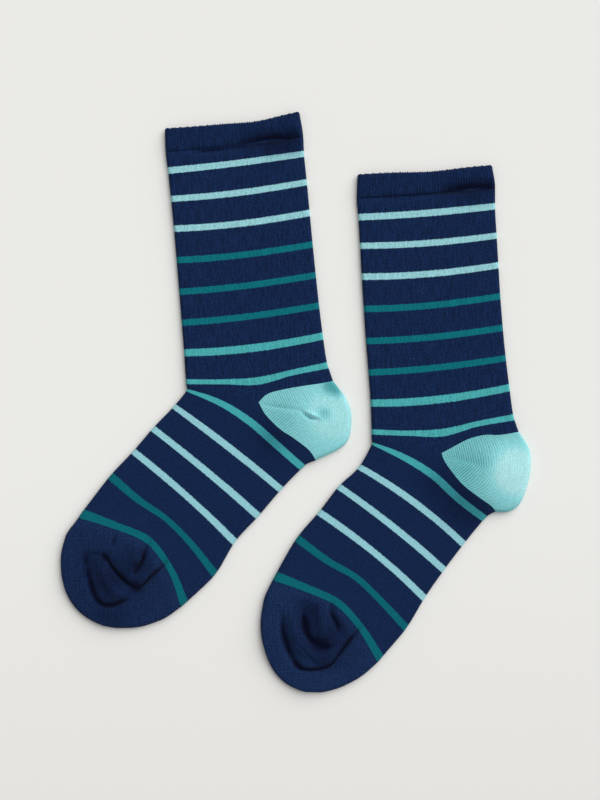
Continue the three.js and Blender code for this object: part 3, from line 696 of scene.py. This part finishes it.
def tube_points(sock, courses, heights, rows, wales):
    """Points of a tube's rows, as an array of rows, columns and axes, its stitch numbers and its
    shade."""
    columns = 2 * wales * COLUMNS_PER_WALE
    points = np.empty((len(rows), columns + 1, 3))
    shade = np.empty((len(rows), columns + 1))
    for number, row in enumerate(rows):
        full = height_at(heights, row.knit)
        length = course_length(courses, row.knit)
        share, lift, upper = ring_profile(length, full, row.inset, columns)
        places = tube_place(courses, share, row.knit)
        if courses is sock.leg:
            sag = sock.sag.depth * max(0, 1 - row.knit / SAG_LENGTH) ** 2
            places[:, 1] -= sag * np.exp(-(((share - sock.sag.share) / sock.sag.reach) ** 2))
            rib = np.arange(columns + 1) / (2 * COLUMNS_PER_WALE)
            change = np.sin(RIB_CHANGE * np.round(np.minimum(rib, wales - rib)))
            uneven = 1 - RIB_UNEVENNESS + RIB_UNEVENNESS * change
            crest = RIB_CREST * max(0, 1 - row.knit / RIB_LENGTH) * uneven
            places[:, 1] += crest * (np.cos(2 * np.pi * rib) + RIB_BASE)
        lift = np.minimum(lift, row.end_lift)
        points[number, :, :2] = places
        points[number, :, 2], shade[number] = layer_heights(sock, places, lift, upper, full, row.inset)
        if courses is sock.foot:
            shade[number] *= np.clip((row.knit - FOOT_LENGTH) / TOE_SHADE_LENGTH, 0, 1)
            dips = spots_at(sock.sole_shades, places)
            shade[number] += np.where(upper & (row.inset == 0), dips, 0)
    stitches = np.empty((len(rows), columns + 1, 2))
    stitches[:, :, 0] = np.linspace(0, 2 * wales, columns + 1)
    stitches[:, :, 1] = np.array([row.knit for row in rows])[:, None]
    return points, stitches, shade


def heel_points(sock, rows_across, wall, wales):
    """Points of a heel pocket, its stitch numbers and its shade. Each row runs from the ankle
    point over the upper leaf, round the outline and back under the lower leaf."""
    leg_end, foot_start = sock.leg[-1], sock.foot[0]
    full = LEG_HEIGHTS[-1].height
    outline = spline_through(sock.outline)
    ankle = np.array(leg_end.middle, float)
    heel_point = along(outline, [0.5])[0]
    leg_length = course_length(sock.leg, LEG_LENGTH)
    foot_length = course_length(sock.foot, 0)

    def leaf(reach, turn):
        seam_course = leg_end if turn < 0.5 else foot_start

        def straight(at):
            seam = course_points(seam_course, 0.5 + at / 2)
            gore = ankle + at[:, None] * (heel_point - ankle)
            soft = GORE_ROUNDING + HEEL_ROUNDING * np.clip((at - HEEL_TURN) / (1 - HEEL_TURN), 0, 1)
            from_gore = np.sqrt((2 * turn - 1) ** 2 + soft**2) - soft
            closeness = 1 - from_gore / (np.sqrt(1 + soft**2) - soft)
            return seam + closeness[:, None] * (gore - seam)

        bulge = along(outline, [turn])[0] - straight(np.ones(1))[0]
        t = np.clip((reach - HEEL_TURN) / (1 - HEEL_TURN), 0, 1)
        return straight(reach) + (t * t * (3 - 2 * t))[:, None] * bulge

    columns = wales * COLUMNS_PER_WALE
    outside = np.linspace(0, 1, rows_across + 1)
    inside = np.linspace(1, 0, rows_across // 3 + 1)
    turns = [(turn, 0) for turn in outside] + [(turn, wall) for turn in inside] + [(0, 0)]
    points = np.empty((len(turns), columns + 1, 3))
    shade = np.empty((len(turns), columns + 1))
    for number, (turn, inset) in enumerate(turns):
        length = leg_length + turn * (foot_length - leg_length)
        share, lift, upper = ring_profile(length, full, inset, 2 * columns)
        back = slice(columns // 2, columns // 2 + columns + 1)
        reach = np.clip(2 * share[back] - 1, 0, 1)
        reach[0] = reach[-1] = 0
        places = leaf(reach, turn)
        points[number, :, :2] = places
        heights, shade[number] = layer_heights(sock, places, lift[back], upper[back], full, inset)
        heights[-1] = inset
        points[number, :, 2] = heights
    walked = np.zeros((len(turns), columns + 1))
    steps = np.linalg.norm(np.diff(points[: rows_across + 1], axis=0), axis=2)
    walked[1 : rows_across + 1] = np.cumsum(steps, axis=0)
    outer = walked[: rows_across + 1] - walked[rows_across // 2]
    inner_rows = np.linspace(rows_across, 0, len(inside)).round().astype(int)
    walked = np.vstack([outer, outer[inner_rows], outer[:1]])
    stitches = np.empty((len(turns), columns + 1, 2))
    stitches[:, :, 0] = np.linspace(0, wales, columns + 1)
    stitches[:, :, 1] = walked
    return points, stitches, shade


def raise_wales(points, outer_rows, depth, period, fade=None):
    """Sinks the gaps between the wales of the outer rows, along the surface's normal, and less
    where the wales are drawn together. A fade gives each row's share of the depth."""
    outer = points[outer_rows]
    down = np.gradient(outer, axis=0)
    across = np.gradient(outer, axis=1)
    across[:, 0] = across[:, -1] = (across[:, 0] + across[:, -1]) / 2
    normal = np.cross(across, down)
    size = np.linalg.norm(normal, axis=2, keepdims=True)
    normal = normal / np.where(size > 1e-9, size, 1)
    quarter = points.shape[1] // 4
    if (normal[:, quarter, 2] * (outer[:, quarter, 2] - outer[:, :, 2].mean())).sum() < 0:
        normal = -normal
    spacing = np.linalg.norm(across, axis=2)
    usual = np.median(spacing[: len(outer) // 2])
    depth = depth * np.clip(spacing / usual, 0, 1) ** 2
    if fade is not None:
        depth = depth * np.asarray(fade)[:, None]
    gap = (1 - np.cos(2 * np.pi * np.arange(points.shape[1]) / period)) / 2
    outer = outer - (depth * gap)[:, :, None] * normal
    outer[:, :, 2] = np.maximum(outer[:, :, 2], 0)
    points[outer_rows] = outer


def knitted_piece(name, sock, points, stitches, shade, stretch=None):
    """Lays a grid of loops on the points given, closes it, and gives it its stitch numbers, its
    shade and how far it is stretched."""
    rows, columns = points.shape[:2]
    bpy.ops.object.select_all(action="DESELECT")
    bpy.ops.mesh.primitive_grid_add(x_subdivisions=columns - 1, y_subdivisions=rows - 1, size=1)
    piece = bpy.context.object
    mesh = piece.data
    if len(mesh.vertices) != rows * columns:
        raise RuntimeError(f"{name}: the grid has {len(mesh.vertices)} points, not {rows * columns}")
    places = points.reshape(-1, 3) + np.array([*sock.ankle, 0])
    mesh.vertices.foreach_set("co", (places * MM).ravel())
    corners = np.empty(len(mesh.loops), dtype=np.int32)
    mesh.loops.foreach_get("vertex_index", corners)
    layer = mesh.uv_layers[0]
    layer.name = "stitches"
    layer.uv.foreach_set("vector", stitches.reshape(-1, 2)[corners].ravel())
    for key, values in (("shade", shade), ("stretch", stretch)):
        if values is not None:
            attribute = mesh.attributes.new(key, "FLOAT", "POINT")
            attribute.data.foreach_set("value", values.astype(np.float32).ravel())
    mesh.update()
    bpy.ops.object.mode_set(mode="EDIT")
    bpy.ops.mesh.select_all(action="SELECT")
    bpy.ops.mesh.remove_doubles(threshold=SAME_POINT)
    bpy.ops.mesh.select_all(action="SELECT")
    bpy.ops.mesh.dissolve_degenerate(threshold=SAME_POINT)
    bpy.ops.object.mode_set(mode="OBJECT")
    solid = bmesh.new()
    solid.from_mesh(mesh)
    open_edges = sum(1 for edge in solid.edges if not edge.is_manifold)
    if solid.calc_volume(signed=True) < 0:
        bmesh.ops.reverse_faces(solid, faces=solid.faces)
        solid.to_mesh(mesh)
    solid.free()
    if open_edges:
        print(f"{name}: {open_edges} edges are open")
    bpy.ops.object.shade_smooth_by_angle(angle=math.radians(SMOOTH_ANGLE))
    piece.name = name
    return piece


def declare(piece, node, slot, material, flat, area=None):
    """Gives a piece its material, attaches it to the root body and hides the part that it stands for. The
    flat size and area of its cloth are not used.
    """
    piece.data.materials.clear()
    piece.data.materials.append(material)
    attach(piece, "root")
    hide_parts(node)


def tube_cut(courses, start, end):
    """Flat size of a tube, all round, in metres, and the flat area of what is knitted."""
    knits = np.linspace(start, end, CUT_STEPS + 1)
    rounds = np.array([2 * course_length(courses, knit) for knit in knits])
    shares = np.linspace(0, 1, 2 * CUT_STEPS + 1)
    middle = np.array([tube_place(courses, shares, knit) for knit in knits])
    lengths = np.linalg.norm(np.diff(middle, axis=0), axis=2).sum(axis=0)
    width, length = rounds.max() * MM, lengths.max() * MM
    area = 0.0
    for near, far in zip(middle, middle[1:]):
        sides = np.diff(near, axis=0)
        steps = (far - near)[:-1]
        area += 2 * np.abs(sides[:, 0] * steps[:, 1] - sides[:, 1] * steps[:, 0]).sum()
    return (float(width), float(length)), float(min(area * MM * MM, width * length))


class Graph:
    """Short ways to add nodes to a material or a node group."""

    def __init__(self, tree):
        self.tree = tree

    def add(self, kind, label="", **values):
        node = self.tree.nodes.new(kind)
        node.label = label
        for key, value in values.items():
            setattr(node, key, value)
        return node

    def link(self, source, target):
        if isinstance(source, (int, float, tuple)):
            target.default_value = source
        else:
            self.tree.links.new(source, target)

    def maths(self, operation, first, second=0.0, third=0.0):
        node = self.add("ShaderNodeMath", operation=operation)
        for value, socket in zip((first, second, third), node.inputs):
            self.link(value, socket)
        return node.outputs[0]

    def mix(self, factor, first, second, blend="MIX"):
        node = self.add("ShaderNodeMix", data_type="RGBA", blend_type=blend)
        self.link(factor, node.inputs["Factor"])
        self.link(first, node.inputs["A"])
        self.link(second, node.inputs["B"])
        return node.outputs["Result"]

    def span(self, value, low, high, to_low, to_high):
        node = self.add("ShaderNodeMapRange")
        for part, socket in zip((value, low, high, to_low, to_high), node.inputs):
            self.link(part, socket)
        return node.outputs[0]

    def group(self, name, **values):
        node = self.add("ShaderNodeGroup", name)
        node.node_tree = bpy.data.node_groups[name]
        for key, value in values.items():
            self.link(value, node.inputs[key.replace("_", " ").capitalize()])
        return node.outputs


def new_group(name, inputs, outputs):
    tree = bpy.data.node_groups.new(name, "ShaderNodeTree")
    for socket in inputs:
        tree.interface.new_socket(socket, in_out="INPUT", socket_type="NodeSocketFloat")
    for socket in outputs:
        tree.interface.new_socket(socket, in_out="OUTPUT", socket_type="NodeSocketFloat")
    graph = Graph(tree)
    return graph, graph.add("NodeGroupInput").outputs, graph.add("NodeGroupOutput").inputs


def stitch_group():
    """Loops of plain knitting: each wale is a column of small V shapes."""
    graph, given, put = new_group("Stitch", ["Wale", "Course"], ["Height", "Gap", "Edge"])
    beside = graph.maths("PINGPONG", given["Wale"], 0.5)
    beside = graph.maths("MULTIPLY", beside, 2.0)
    slant = graph.maths("MULTIPLY", beside, LOOP_SLANT)
    row = graph.maths("SUBTRACT", given["Course"], slant)
    wave = graph.maths("COSINE", graph.maths("MULTIPLY", row, 2 * math.pi))
    loop = graph.maths("MULTIPLY_ADD", wave, 0.5, 0.5)
    crown = graph.maths("SUBTRACT", 1.0, graph.maths("POWER", beside, 3.0))
    roundness = graph.maths("MULTIPLY_ADD", loop, LOOP_RISE, 1 - LOOP_RISE)
    height = graph.maths("MULTIPLY", crown, roundness)
    graph.link(height, put["Height"])
    graph.link(graph.maths("SUBTRACT", 1.0, height), put["Gap"])
    graph.link(slant, put["Edge"])


def yarn_group():
    """Uneven yarn: fibres that catch the light, and slightly thicker and thinner stretches."""
    graph, given, put = new_group("Yarn", ["Wale", "Course"], ["Speckle", "Streak", "Wander", "Jitter"])

    def noise(scale_across, scale_down, detail):
        place = graph.add("ShaderNodeCombineXYZ")
        graph.link(graph.maths("MULTIPLY", given["Wale"], scale_across), place.inputs["X"])
        graph.link(graph.maths("MULTIPLY", given["Course"], scale_down), place.inputs["Y"])
        texture = graph.add("ShaderNodeTexNoise")
        texture.inputs["Scale"].default_value = 1.0
        texture.inputs["Detail"].default_value = detail
        graph.link(place.outputs[0], texture.inputs["Vector"])
        return texture.outputs[0]

    graph.link(noise(0.9, 0.7, 3.0), put["Speckle"])
    graph.link(noise(0.7, 0.1, 2.0), put["Streak"])
    graph.link(noise(0.35, 0.2, 1.0), put["Wander"])
    jitter = graph.add("ShaderNodeTexWhiteNoise", noise_dimensions="1D")
    graph.link(graph.maths("FLOOR", given["Wale"]), jitter.inputs["W"])
    graph.link(jitter.outputs["Value"], put["Jitter"])


def stripe_group():
    """A mask of evenly spaced stripes."""
    graph, given, put = new_group("Stripes", ["Knit", "First", "Pitch", "Half width"], ["Mask"])
    number = graph.maths("DIVIDE", graph.maths("SUBTRACT", given["Knit"], given["First"]), given["Pitch"])
    number = graph.maths("ROUND", number)
    middle = graph.maths("MULTIPLY_ADD", number, given["Pitch"], given["First"])
    distance = graph.maths("ABSOLUTE", graph.maths("SUBTRACT", given["Knit"], middle))
    beyond = graph.maths("SUBTRACT", distance, given["Half width"])
    mask = graph.span(beyond, -STRIPE_SOFTNESS, STRIPE_SOFTNESS, 1.0, 0.0)
    graph.link(mask, put["Mask"])


def stripe_colours(graph, stripes, ground, knit, stitch, yarn):
    """Knits stripes into the ground, with edges that follow the loops. Gives the colour and how
    uneven its yarn looks."""
    first, bands = stripes
    course_height = bpy.context.scene.sock_sizes.course_height / MM
    wander = graph.span(yarn["Wander"], 0.3, 0.7, *STRIPE_WANDER)
    wander = graph.maths("MULTIPLY_ADD", yarn["Jitter"], STRIPE_JITTER, wander)
    ragged = graph.maths("MULTIPLY_ADD", stitch["Edge"], -course_height, knit)
    ragged = graph.maths("ADD", ragged, wander)
    number = graph.maths("DIVIDE", graph.maths("SUBTRACT", ragged, float(first)), float(STRIPE_PITCH))
    place = graph.maths("DIVIDE", graph.maths("ADD", number, 0.5), float(len(bands)))
    ramp = graph.add("ShaderNodeValToRGB", "stripe yarns")
    widths = graph.add("ShaderNodeValToRGB", "half widths")
    for node in (ramp, widths):
        node.color_ramp.interpolation = "CONSTANT"
        graph.link(place, node.inputs[0])
        while len(node.color_ramp.elements) < len(bands):
            node.color_ramp.elements.new(0.5)
    for index, (band_colour, half_width) in enumerate(bands):
        share = half_width / MM / GREATEST_HALF_WIDTH
        for node, value in ((ramp, tuple(band_colour)), (widths, (share, share, share))):
            element = node.color_ramp.elements[index]
            element.position = index / len(bands)
            element.color = value + (1.0,)
    half = graph.maths("MULTIPLY", widths.outputs[0], float(GREATEST_HALF_WIDTH))
    spacing = {"first": float(first), "pitch": float(STRIPE_PITCH)}
    mask = graph.group("Stripes", knit=ragged, half_width=half, **spacing)["Mask"]
    colour = graph.mix(mask, ground, ramp.outputs[0])
    return colour, graph.span(mask, 0.0, 1.0, 1.0, STRIPE_UNEVENNESS)


def stretched_colours(graph, yarns, colour, gap, painted_shade):
    """Shows what lies between the loops where they are stretched, paints shade in the creases in the colour
    of the gaps, and paints a sheen where the loops lie close. Gives the colour and how deep the gaps look."""
    glow, gaps = (tuple(yarn) + (1.0,) for yarn in yarns)
    stretch = graph.add("ShaderNodeAttribute", attribute_name="stretch").outputs["Fac"]
    # Painted sheen where the loops lie close.
    colour = graph.mix(graph.span(stretch, 0.0, 0.3, 0.0, 1.0), glow, colour)
    seen = graph.maths("MULTIPLY", stretch, graph.maths("MULTIPLY_ADD", gap, 0.66, 0.28))
    # Painted shade in the creases takes the colour of the gaps.
    seen = graph.maths("MAXIMUM", seen, painted_shade)
    colour = graph.mix(seen, colour, gaps)
    return colour, graph.maths("MULTIPLY", gap, graph.span(stretch, 0.0, 0.6, 0.1, 1.0))


def knit_material(
    name, ground, speckle=0.42, streak=0.24, relief=1.0, stripes=None, stretched=None, turned=False
):
    """Cloth of plain knitting in one yarn, with stripes in others. Stripes are a first middle and
    a list of colours and half widths, in the order of the courses. Stretched cloth has a colour
    for loops that lie close and one for the gaps between loops that don't. Turned cloth has
    wales that all run the same way, as in a pocket, and not from its seam."""
    sizes = bpy.context.scene.sock_sizes
    material = bpy.data.materials.new(name)
    material.use_nodes = True
    graph = Graph(material.node_tree)
    shader = material.node_tree.nodes["Principled BSDF"]
    stitches = graph.add("ShaderNodeUVMap", uv_map="stitches")
    split = graph.add("ShaderNodeSeparateXYZ")
    graph.link(stitches.outputs[0], split.inputs[0])
    wale, knit = split.outputs["X"], split.outputs["Y"]
    course_height = sizes.course_height / MM
    if turned:
        place = graph.add("ShaderNodeTexCoord")
        split = graph.add("ShaderNodeSeparateXYZ")
        graph.link(place.outputs["Object"], split.inputs[0])
        wale = graph.maths("DIVIDE", split.outputs["X"], TOE_WALE_WIDTH * MM)
        knit = graph.maths("DIVIDE", split.outputs["Y"], MM)
    course = graph.maths("DIVIDE", knit, course_height)
    stitch = graph.group("Stitch", wale=wale, course=course)
    yarn = graph.group("Yarn", wale=wale, course=course)
    colour = tuple(ground) + (1.0,)
    # Painted shade: how deep each point lies in shade, read from its shade attribute.
    painted_shade = graph.add("ShaderNodeAttribute", attribute_name="shade").outputs["Fac"]
    gap = stitch["Gap"]
    unevenness = 1.0
    darkest = NAVY_SHADE
    if stripes:
        colour, unevenness = stripe_colours(graph, stripes, colour, knit, stitch, yarn)
    if stretched:
        darkest = AQUA_SHADE
        colour, gap = stretched_colours(graph, stretched, colour, gap, painted_shade)
    # Painted highlight on the loops' crests and painted shade in their gaps.
    shade = graph.span(gap, 0.0, 1.0, 1 + CREST_LIGHT * relief, 1 - GAP_DARKNESS * relief)
    fibres = graph.span(yarn["Speckle"], 0.3, 0.7, -speckle, speckle)
    fibres = graph.maths("ADD", fibres, graph.span(yarn["Streak"], 0.35, 0.65, -streak, streak))
    shade = graph.maths("MULTIPLY", shade, graph.maths("MULTIPLY_ADD", fibres, unevenness, 1.0))
    tone = graph.add("ShaderNodeCombineXYZ")
    for socket in tone.inputs:
        graph.link(shade, socket)
    colour = graph.mix(1.0, colour, tone.outputs[0], blend="MULTIPLY")
    # Painted shade darkens the colour towards the darkest shade of its yarn.
    light = graph.mix(painted_shade, (1, 1, 1, 1), darkest)
    colour = graph.mix(1.0, colour, light, blend="MULTIPLY")
    graph.link(colour, shader.inputs["Base Color"])
    graph.link(graph.span(stitch["Gap"], 0.0, 1.0, 0.8, 0.95), shader.inputs["Roughness"])
    raised = graph.maths("MULTIPLY_ADD", yarn["Speckle"], FIBRE_RELIEF, stitch["Height"])
    bumps = graph.add("ShaderNodeBump")
    bumps.inputs["Strength"].default_value = RELIEF_STRENGTH
    bumps.inputs["Distance"].default_value = RELIEF_HEIGHT * relief * MM
    graph.link(raised, bumps.inputs["Height"])
    graph.link(bumps.outputs[0], shader.inputs["Normal"])
    shader.inputs["Sheen Weight"].default_value = 0.04
    shader.inputs["Sheen Roughness"].default_value = 0.5
    shader.inputs["Specular IOR Level"].default_value = 0.08
    return material


def stripe_orders():
    """Stripes of the legs and of the feet. Both have the same yarns, in their own order, and those
    of the feet look a little different because the knit there is stretched."""
    sizes = bpy.context.scene.sock_sizes
    colours = bpy.context.scene.sock_colours
    pale = (colours.pale, sizes.stripe_half_width)
    teal = (colours.teal, sizes.stripe_half_width)
    aqua = (colours.aqua, sizes.wide_half_width)
    leg = (LEG_FIRST_STRIPE, [pale] * 3 + [teal] * 3 + [aqua] * 2)
    foot_pale = (colours.foot_pale, sizes.stripe_half_width)
    foot_teal = (colours.foot_teal, sizes.stripe_half_width)
    foot_aqua = (colours.foot_aqua, sizes.wide_half_width)
    foot = (FOOT_FIRST_STRIPE, [foot_aqua] + [foot_pale] * 3 + [foot_teal] * 2)
    return leg, foot


class SOCKS_OT_set_stage(Operator):
    """Lays out the pale surface, the soft light and the camera above"""

    bl_idname = "socks.set_stage"
    bl_label = "Stage"

    def execute(self, context):
        settings = context.scene.sock_stage
        bpy.ops.mesh.primitive_plane_add(size=FLOOR_SIZE, location=(0, 0, -FLOOR_GAP))
        floor = context.object
        floor.name = "floor"
        bpy.ops.object.transform_apply(location=True, rotation=True, scale=True)
        material = bpy.data.materials.new("pale_surface")
        material.use_nodes = True
        graph = Graph(material.node_tree)
        shader = material.node_tree.nodes["Principled BSDF"]
        place = graph.add("ShaderNodeTexCoord")
        split = graph.add("ShaderNodeSeparateXYZ")
        graph.link(place.outputs["Object"], split.inputs[0])
        # Painted shade on the surface towards the toes.
        floor_shade = graph.span(split.outputs["Y"], *FLOOR_CHANGE, 0.0, 1.0)
        colour = graph.mix(floor_shade, (*settings.floor, 1), (*settings.shaded_floor, 1))
        graph.link(colour, shader.inputs["Base Color"])
        shader.inputs["Roughness"].default_value = 0.9
        shader.inputs["Specular IOR Level"].default_value = 0.1
        floor.data.materials.append(material)

        world = bpy.data.worlds.new("room")
        context.scene.world = world
        world.use_nodes = True
        background = world.node_tree.nodes["Background"]
        background.inputs["Color"].default_value = (1.0, 1.0, 1.0, 1)
        background.inputs["Strength"].default_value = settings.fill

        bpy.ops.object.light_add(type="SUN", location=KEY_PLACE)
        key = context.object
        key.name = "key_light"
        key.data.energy = settings.key_strength
        key.data.angle = settings.key_angle
        key.rotation_euler = key.location.to_track_quat("Z", "Y").to_euler()

        distance = settings.view_height * settings.lens / SENSOR
        bpy.ops.object.camera_add(location=(*VIEW_MIDDLE, distance), rotation=(0, 0, 0))
        camera = context.object
        camera.name = "camera"
        camera.data.lens = settings.lens
        camera.data.sensor_width = SENSOR
        context.scene.camera = camera
        context.scene.view_settings.view_transform = "Standard"
        return {"FINISHED"}


def knit_tubes(part, slot, material, tube, heights, rows, ends, depth, period=COLUMNS_PER_WALE, fade=None):
    """Knits a piece of each sock along its leg or its foot, and raises its wales. The ends are the
    lengths of knitting between which it runs. A fade is the length over which the wales fade."""
    outer = [number for number, row in enumerate(rows[:-1]) if row.inset == 0 and row.end_lift == 1]
    faded = [max(0, 1 - (rows[number].knit - ends[0]) / fade) for number in outer] if fade else None
    wales = bpy.context.scene.sock_sizes.wales
    for sock in SOCKS:
        courses = getattr(sock, tube)
        points, stitches, shade = tube_points(sock, courses, heights, rows, wales)
        raise_wales(points, np.array(outer), depth / MM, period, faded)
        if rows[-1] == rows[0]:
            points[-1] = points[0]
        piece = knitted_piece(f"knit_{sock.side}_{part}", sock, points, stitches, shade)
        declare(piece, f"{sock.side}_{part}", slot, material, *tube_cut(courses, *ends))


class SOCKS_OT_knit_cuffs(Operator):
    """Knits the ribbed cuffs, doubled bands that are open at the top"""

    bl_idname = "socks.knit_cuffs"
    bl_label = "Cuffs"

    def execute(self, context):
        sizes = context.scene.sock_sizes
        material = knit_material("navy_rib", context.scene.sock_colours.cuff, speckle=0.45)
        ends = (0, CUFF_LENGTH)
        rows = tube_rows(*ends, CUFF_ROW_STEP, sizes.cuff_wall / MM, round_start=True)
        rib = 2 * COLUMNS_PER_WALE
        knit_tubes("cuff", "navy_rib", material, "leg", CUFF_HEIGHTS, rows, ends, sizes.rib_depth, rib)
        return {"FINISHED"}


class SOCKS_OT_knit_legs(Operator):
    """Knits the striped leg tubes"""

    bl_idname = "socks.knit_legs"
    bl_label = "Legs"

    def execute(self, context):
        sizes = context.scene.sock_sizes
        ground = context.scene.sock_colours.ground
        material = knit_material("striped_leg", ground, stripes=stripe_orders()[0])
        ends = (CUFF_LENGTH, LEG_LENGTH)
        rows = tube_rows(*ends, TUBE_ROW_STEP, sizes.leg_wall / MM)
        knit_tubes("leg", "striped_knit", material, "leg", LEG_HEIGHTS, rows, ends, sizes.wale_depth)
        return {"FINISHED"}


class SOCKS_OT_knit_heels(Operator):
    """Knits the turned heel pockets"""

    bl_idname = "socks.knit_heels"
    bl_label = "Heels"

    def execute(self, context):
        sizes = context.scene.sock_sizes
        colours = context.scene.sock_colours
        stretched = (colours.heel_glow, colours.heel_gap)
        material = knit_material("aqua_heel", colours.heel, speckle=0.1, streak=0.03, stretched=stretched)
        wales = round(sizes.wales * HEEL_WALE_SHARE / 2) * 2
        outer = np.arange(HEEL_ROWS + 1)
        for sock in SOCKS:
            points, stitches, shade = heel_points(sock, HEEL_ROWS, sizes.heel_wall / MM, wales)
            middle = np.array(sock.swells[0].at) + HEEL_MIDDLE
            away = np.linalg.norm(points[:, :, :2] - middle, axis=2)
            strain = spots_at(sock.strains, points[:, :, :2].reshape(-1, 2)).reshape(away.shape)
            least, most = sock.stretch
            share = np.clip((away - HEEL_CLOSE) / HEEL_STRETCH_LENGTH, 0, 1)
            stretch = least + (most - least) * share + strain
            depth = HEEL_GAP_DEPTH * sizes.wale_depth / MM
            depth = depth * np.clip(CLOSE_DEPTH + STRETCH_DEPTH * stretch[outer], 0, 1)
            raise_wales(points, outer, depth, COLUMNS_PER_WALE)
            points[-1] = points[0]
            piece = knitted_piece(f"knit_{sock.side}_heel", sock, points, stitches, shade, stretch)
            outline = spline_through(sock.outline)
            width = course_length(sock.leg, LEG_LENGTH) * MM
            length = float(np.linalg.norm(np.diff(outline, axis=0), axis=1).sum()) * MM
            area = HEEL_AREA_SHARE * width * length
            declare(piece, f"{sock.side}_heel", "aqua_heel", material, (width, length), area)
        return {"FINISHED"}


class SOCKS_OT_knit_feet(Operator):
    """Knits the striped foot tubes"""

    bl_idname = "socks.knit_feet"
    bl_label = "Feet"

    def execute(self, context):
        sizes = context.scene.sock_sizes
        ground = context.scene.sock_colours.ground
        stripes = stripe_orders()[1]
        material = knit_material("striped_foot", ground, speckle=0.25, streak=0.08, stripes=stripes)
        ends = (0, FOOT_LENGTH)
        rows = tube_rows(*ends, TUBE_ROW_STEP, sizes.foot_wall / MM)
        knit_tubes("foot", "striped_knit", material, "foot", FOOT_HEIGHTS, rows, ends, sizes.wale_depth)
        return {"FINISHED"}


class SOCKS_OT_knit_toes(Operator):
    """Knits the toe pockets, closed at their far ends"""

    bl_idname = "socks.knit_toes"
    bl_label = "Toes"

    def execute(self, context):
        sizes = context.scene.sock_sizes
        colour = context.scene.sock_colours.toe
        material = knit_material("navy_toe", colour, streak=0.14, relief=0.8, turned=True)
        ends = (FOOT_LENGTH, TOE_END)
        radius = height_at(FOOT_HEIGHTS, TOE_END) / 2
        rows = toe_rows(*ends, TOE_ROW_STEP, sizes.toe_wall / MM, radius)
        fade = TOE_WALE_LENGTH
        knit_tubes("toe", "navy_toe", material, "foot", FOOT_HEIGHTS, rows, ends, sizes.wale_depth, fade=fade)
        return {"FINISHED"}


STEPS = [
    SOCKS_OT_set_stage,
    SOCKS_OT_knit_cuffs,
    SOCKS_OT_knit_legs,
    SOCKS_OT_knit_heels,
    SOCKS_OT_knit_feet,
    SOCKS_OT_knit_toes,
]


class SOCKS_PT_pieces(Panel):
    bl_label = "Pair of Socks"
    bl_idname = "SOCKS_PT_pieces"
    bl_space_type = "VIEW_3D"
    bl_region_type = "UI"
    bl_category = "Socks"

    def draw(self, context):
        for step in STEPS:
            self.layout.operator(step.bl_idname)
        for settings in (context.scene.sock_sizes, context.scene.sock_colours, context.scene.sock_stage):
            column = self.layout.column(align=True)
            for name in settings.bl_rna.properties.keys():
                if name not in ("rna_type", "name"):
                    column.prop(settings, name)


GROUPS = [("sock_sizes", SockSizes), ("sock_colours", SockColours), ("sock_stage", StageSettings)]


def register():
    for name, group in GROUPS:
        bpy.utils.register_class(group)
        setattr(bpy.types.Scene, name, PointerProperty(type=group))
    for step in STEPS:
        bpy.utils.register_class(step)
    bpy.utils.register_class(SOCKS_PT_pieces)


def unregister():
    bpy.utils.unregister_class(SOCKS_PT_pieces)
    for step in reversed(STEPS):
        bpy.utils.unregister_class(step)
    for name, group in reversed(GROUPS):
        delattr(bpy.types.Scene, name)
        bpy.utils.unregister_class(group)


def main():
    register()
    bpy.ops.object.select_all(action="DESELECT")
    for make_group in (stitch_group, yarn_group, stripe_group):
        make_group()
    bpy.ops.socks.set_stage()
    bpy.ops.socks.knit_cuffs()
    bpy.ops.socks.knit_legs()
    bpy.ops.socks.knit_heels()
    bpy.ops.socks.knit_feet()
    bpy.ops.socks.knit_toes()


if __name__ == "__main__":
    main()
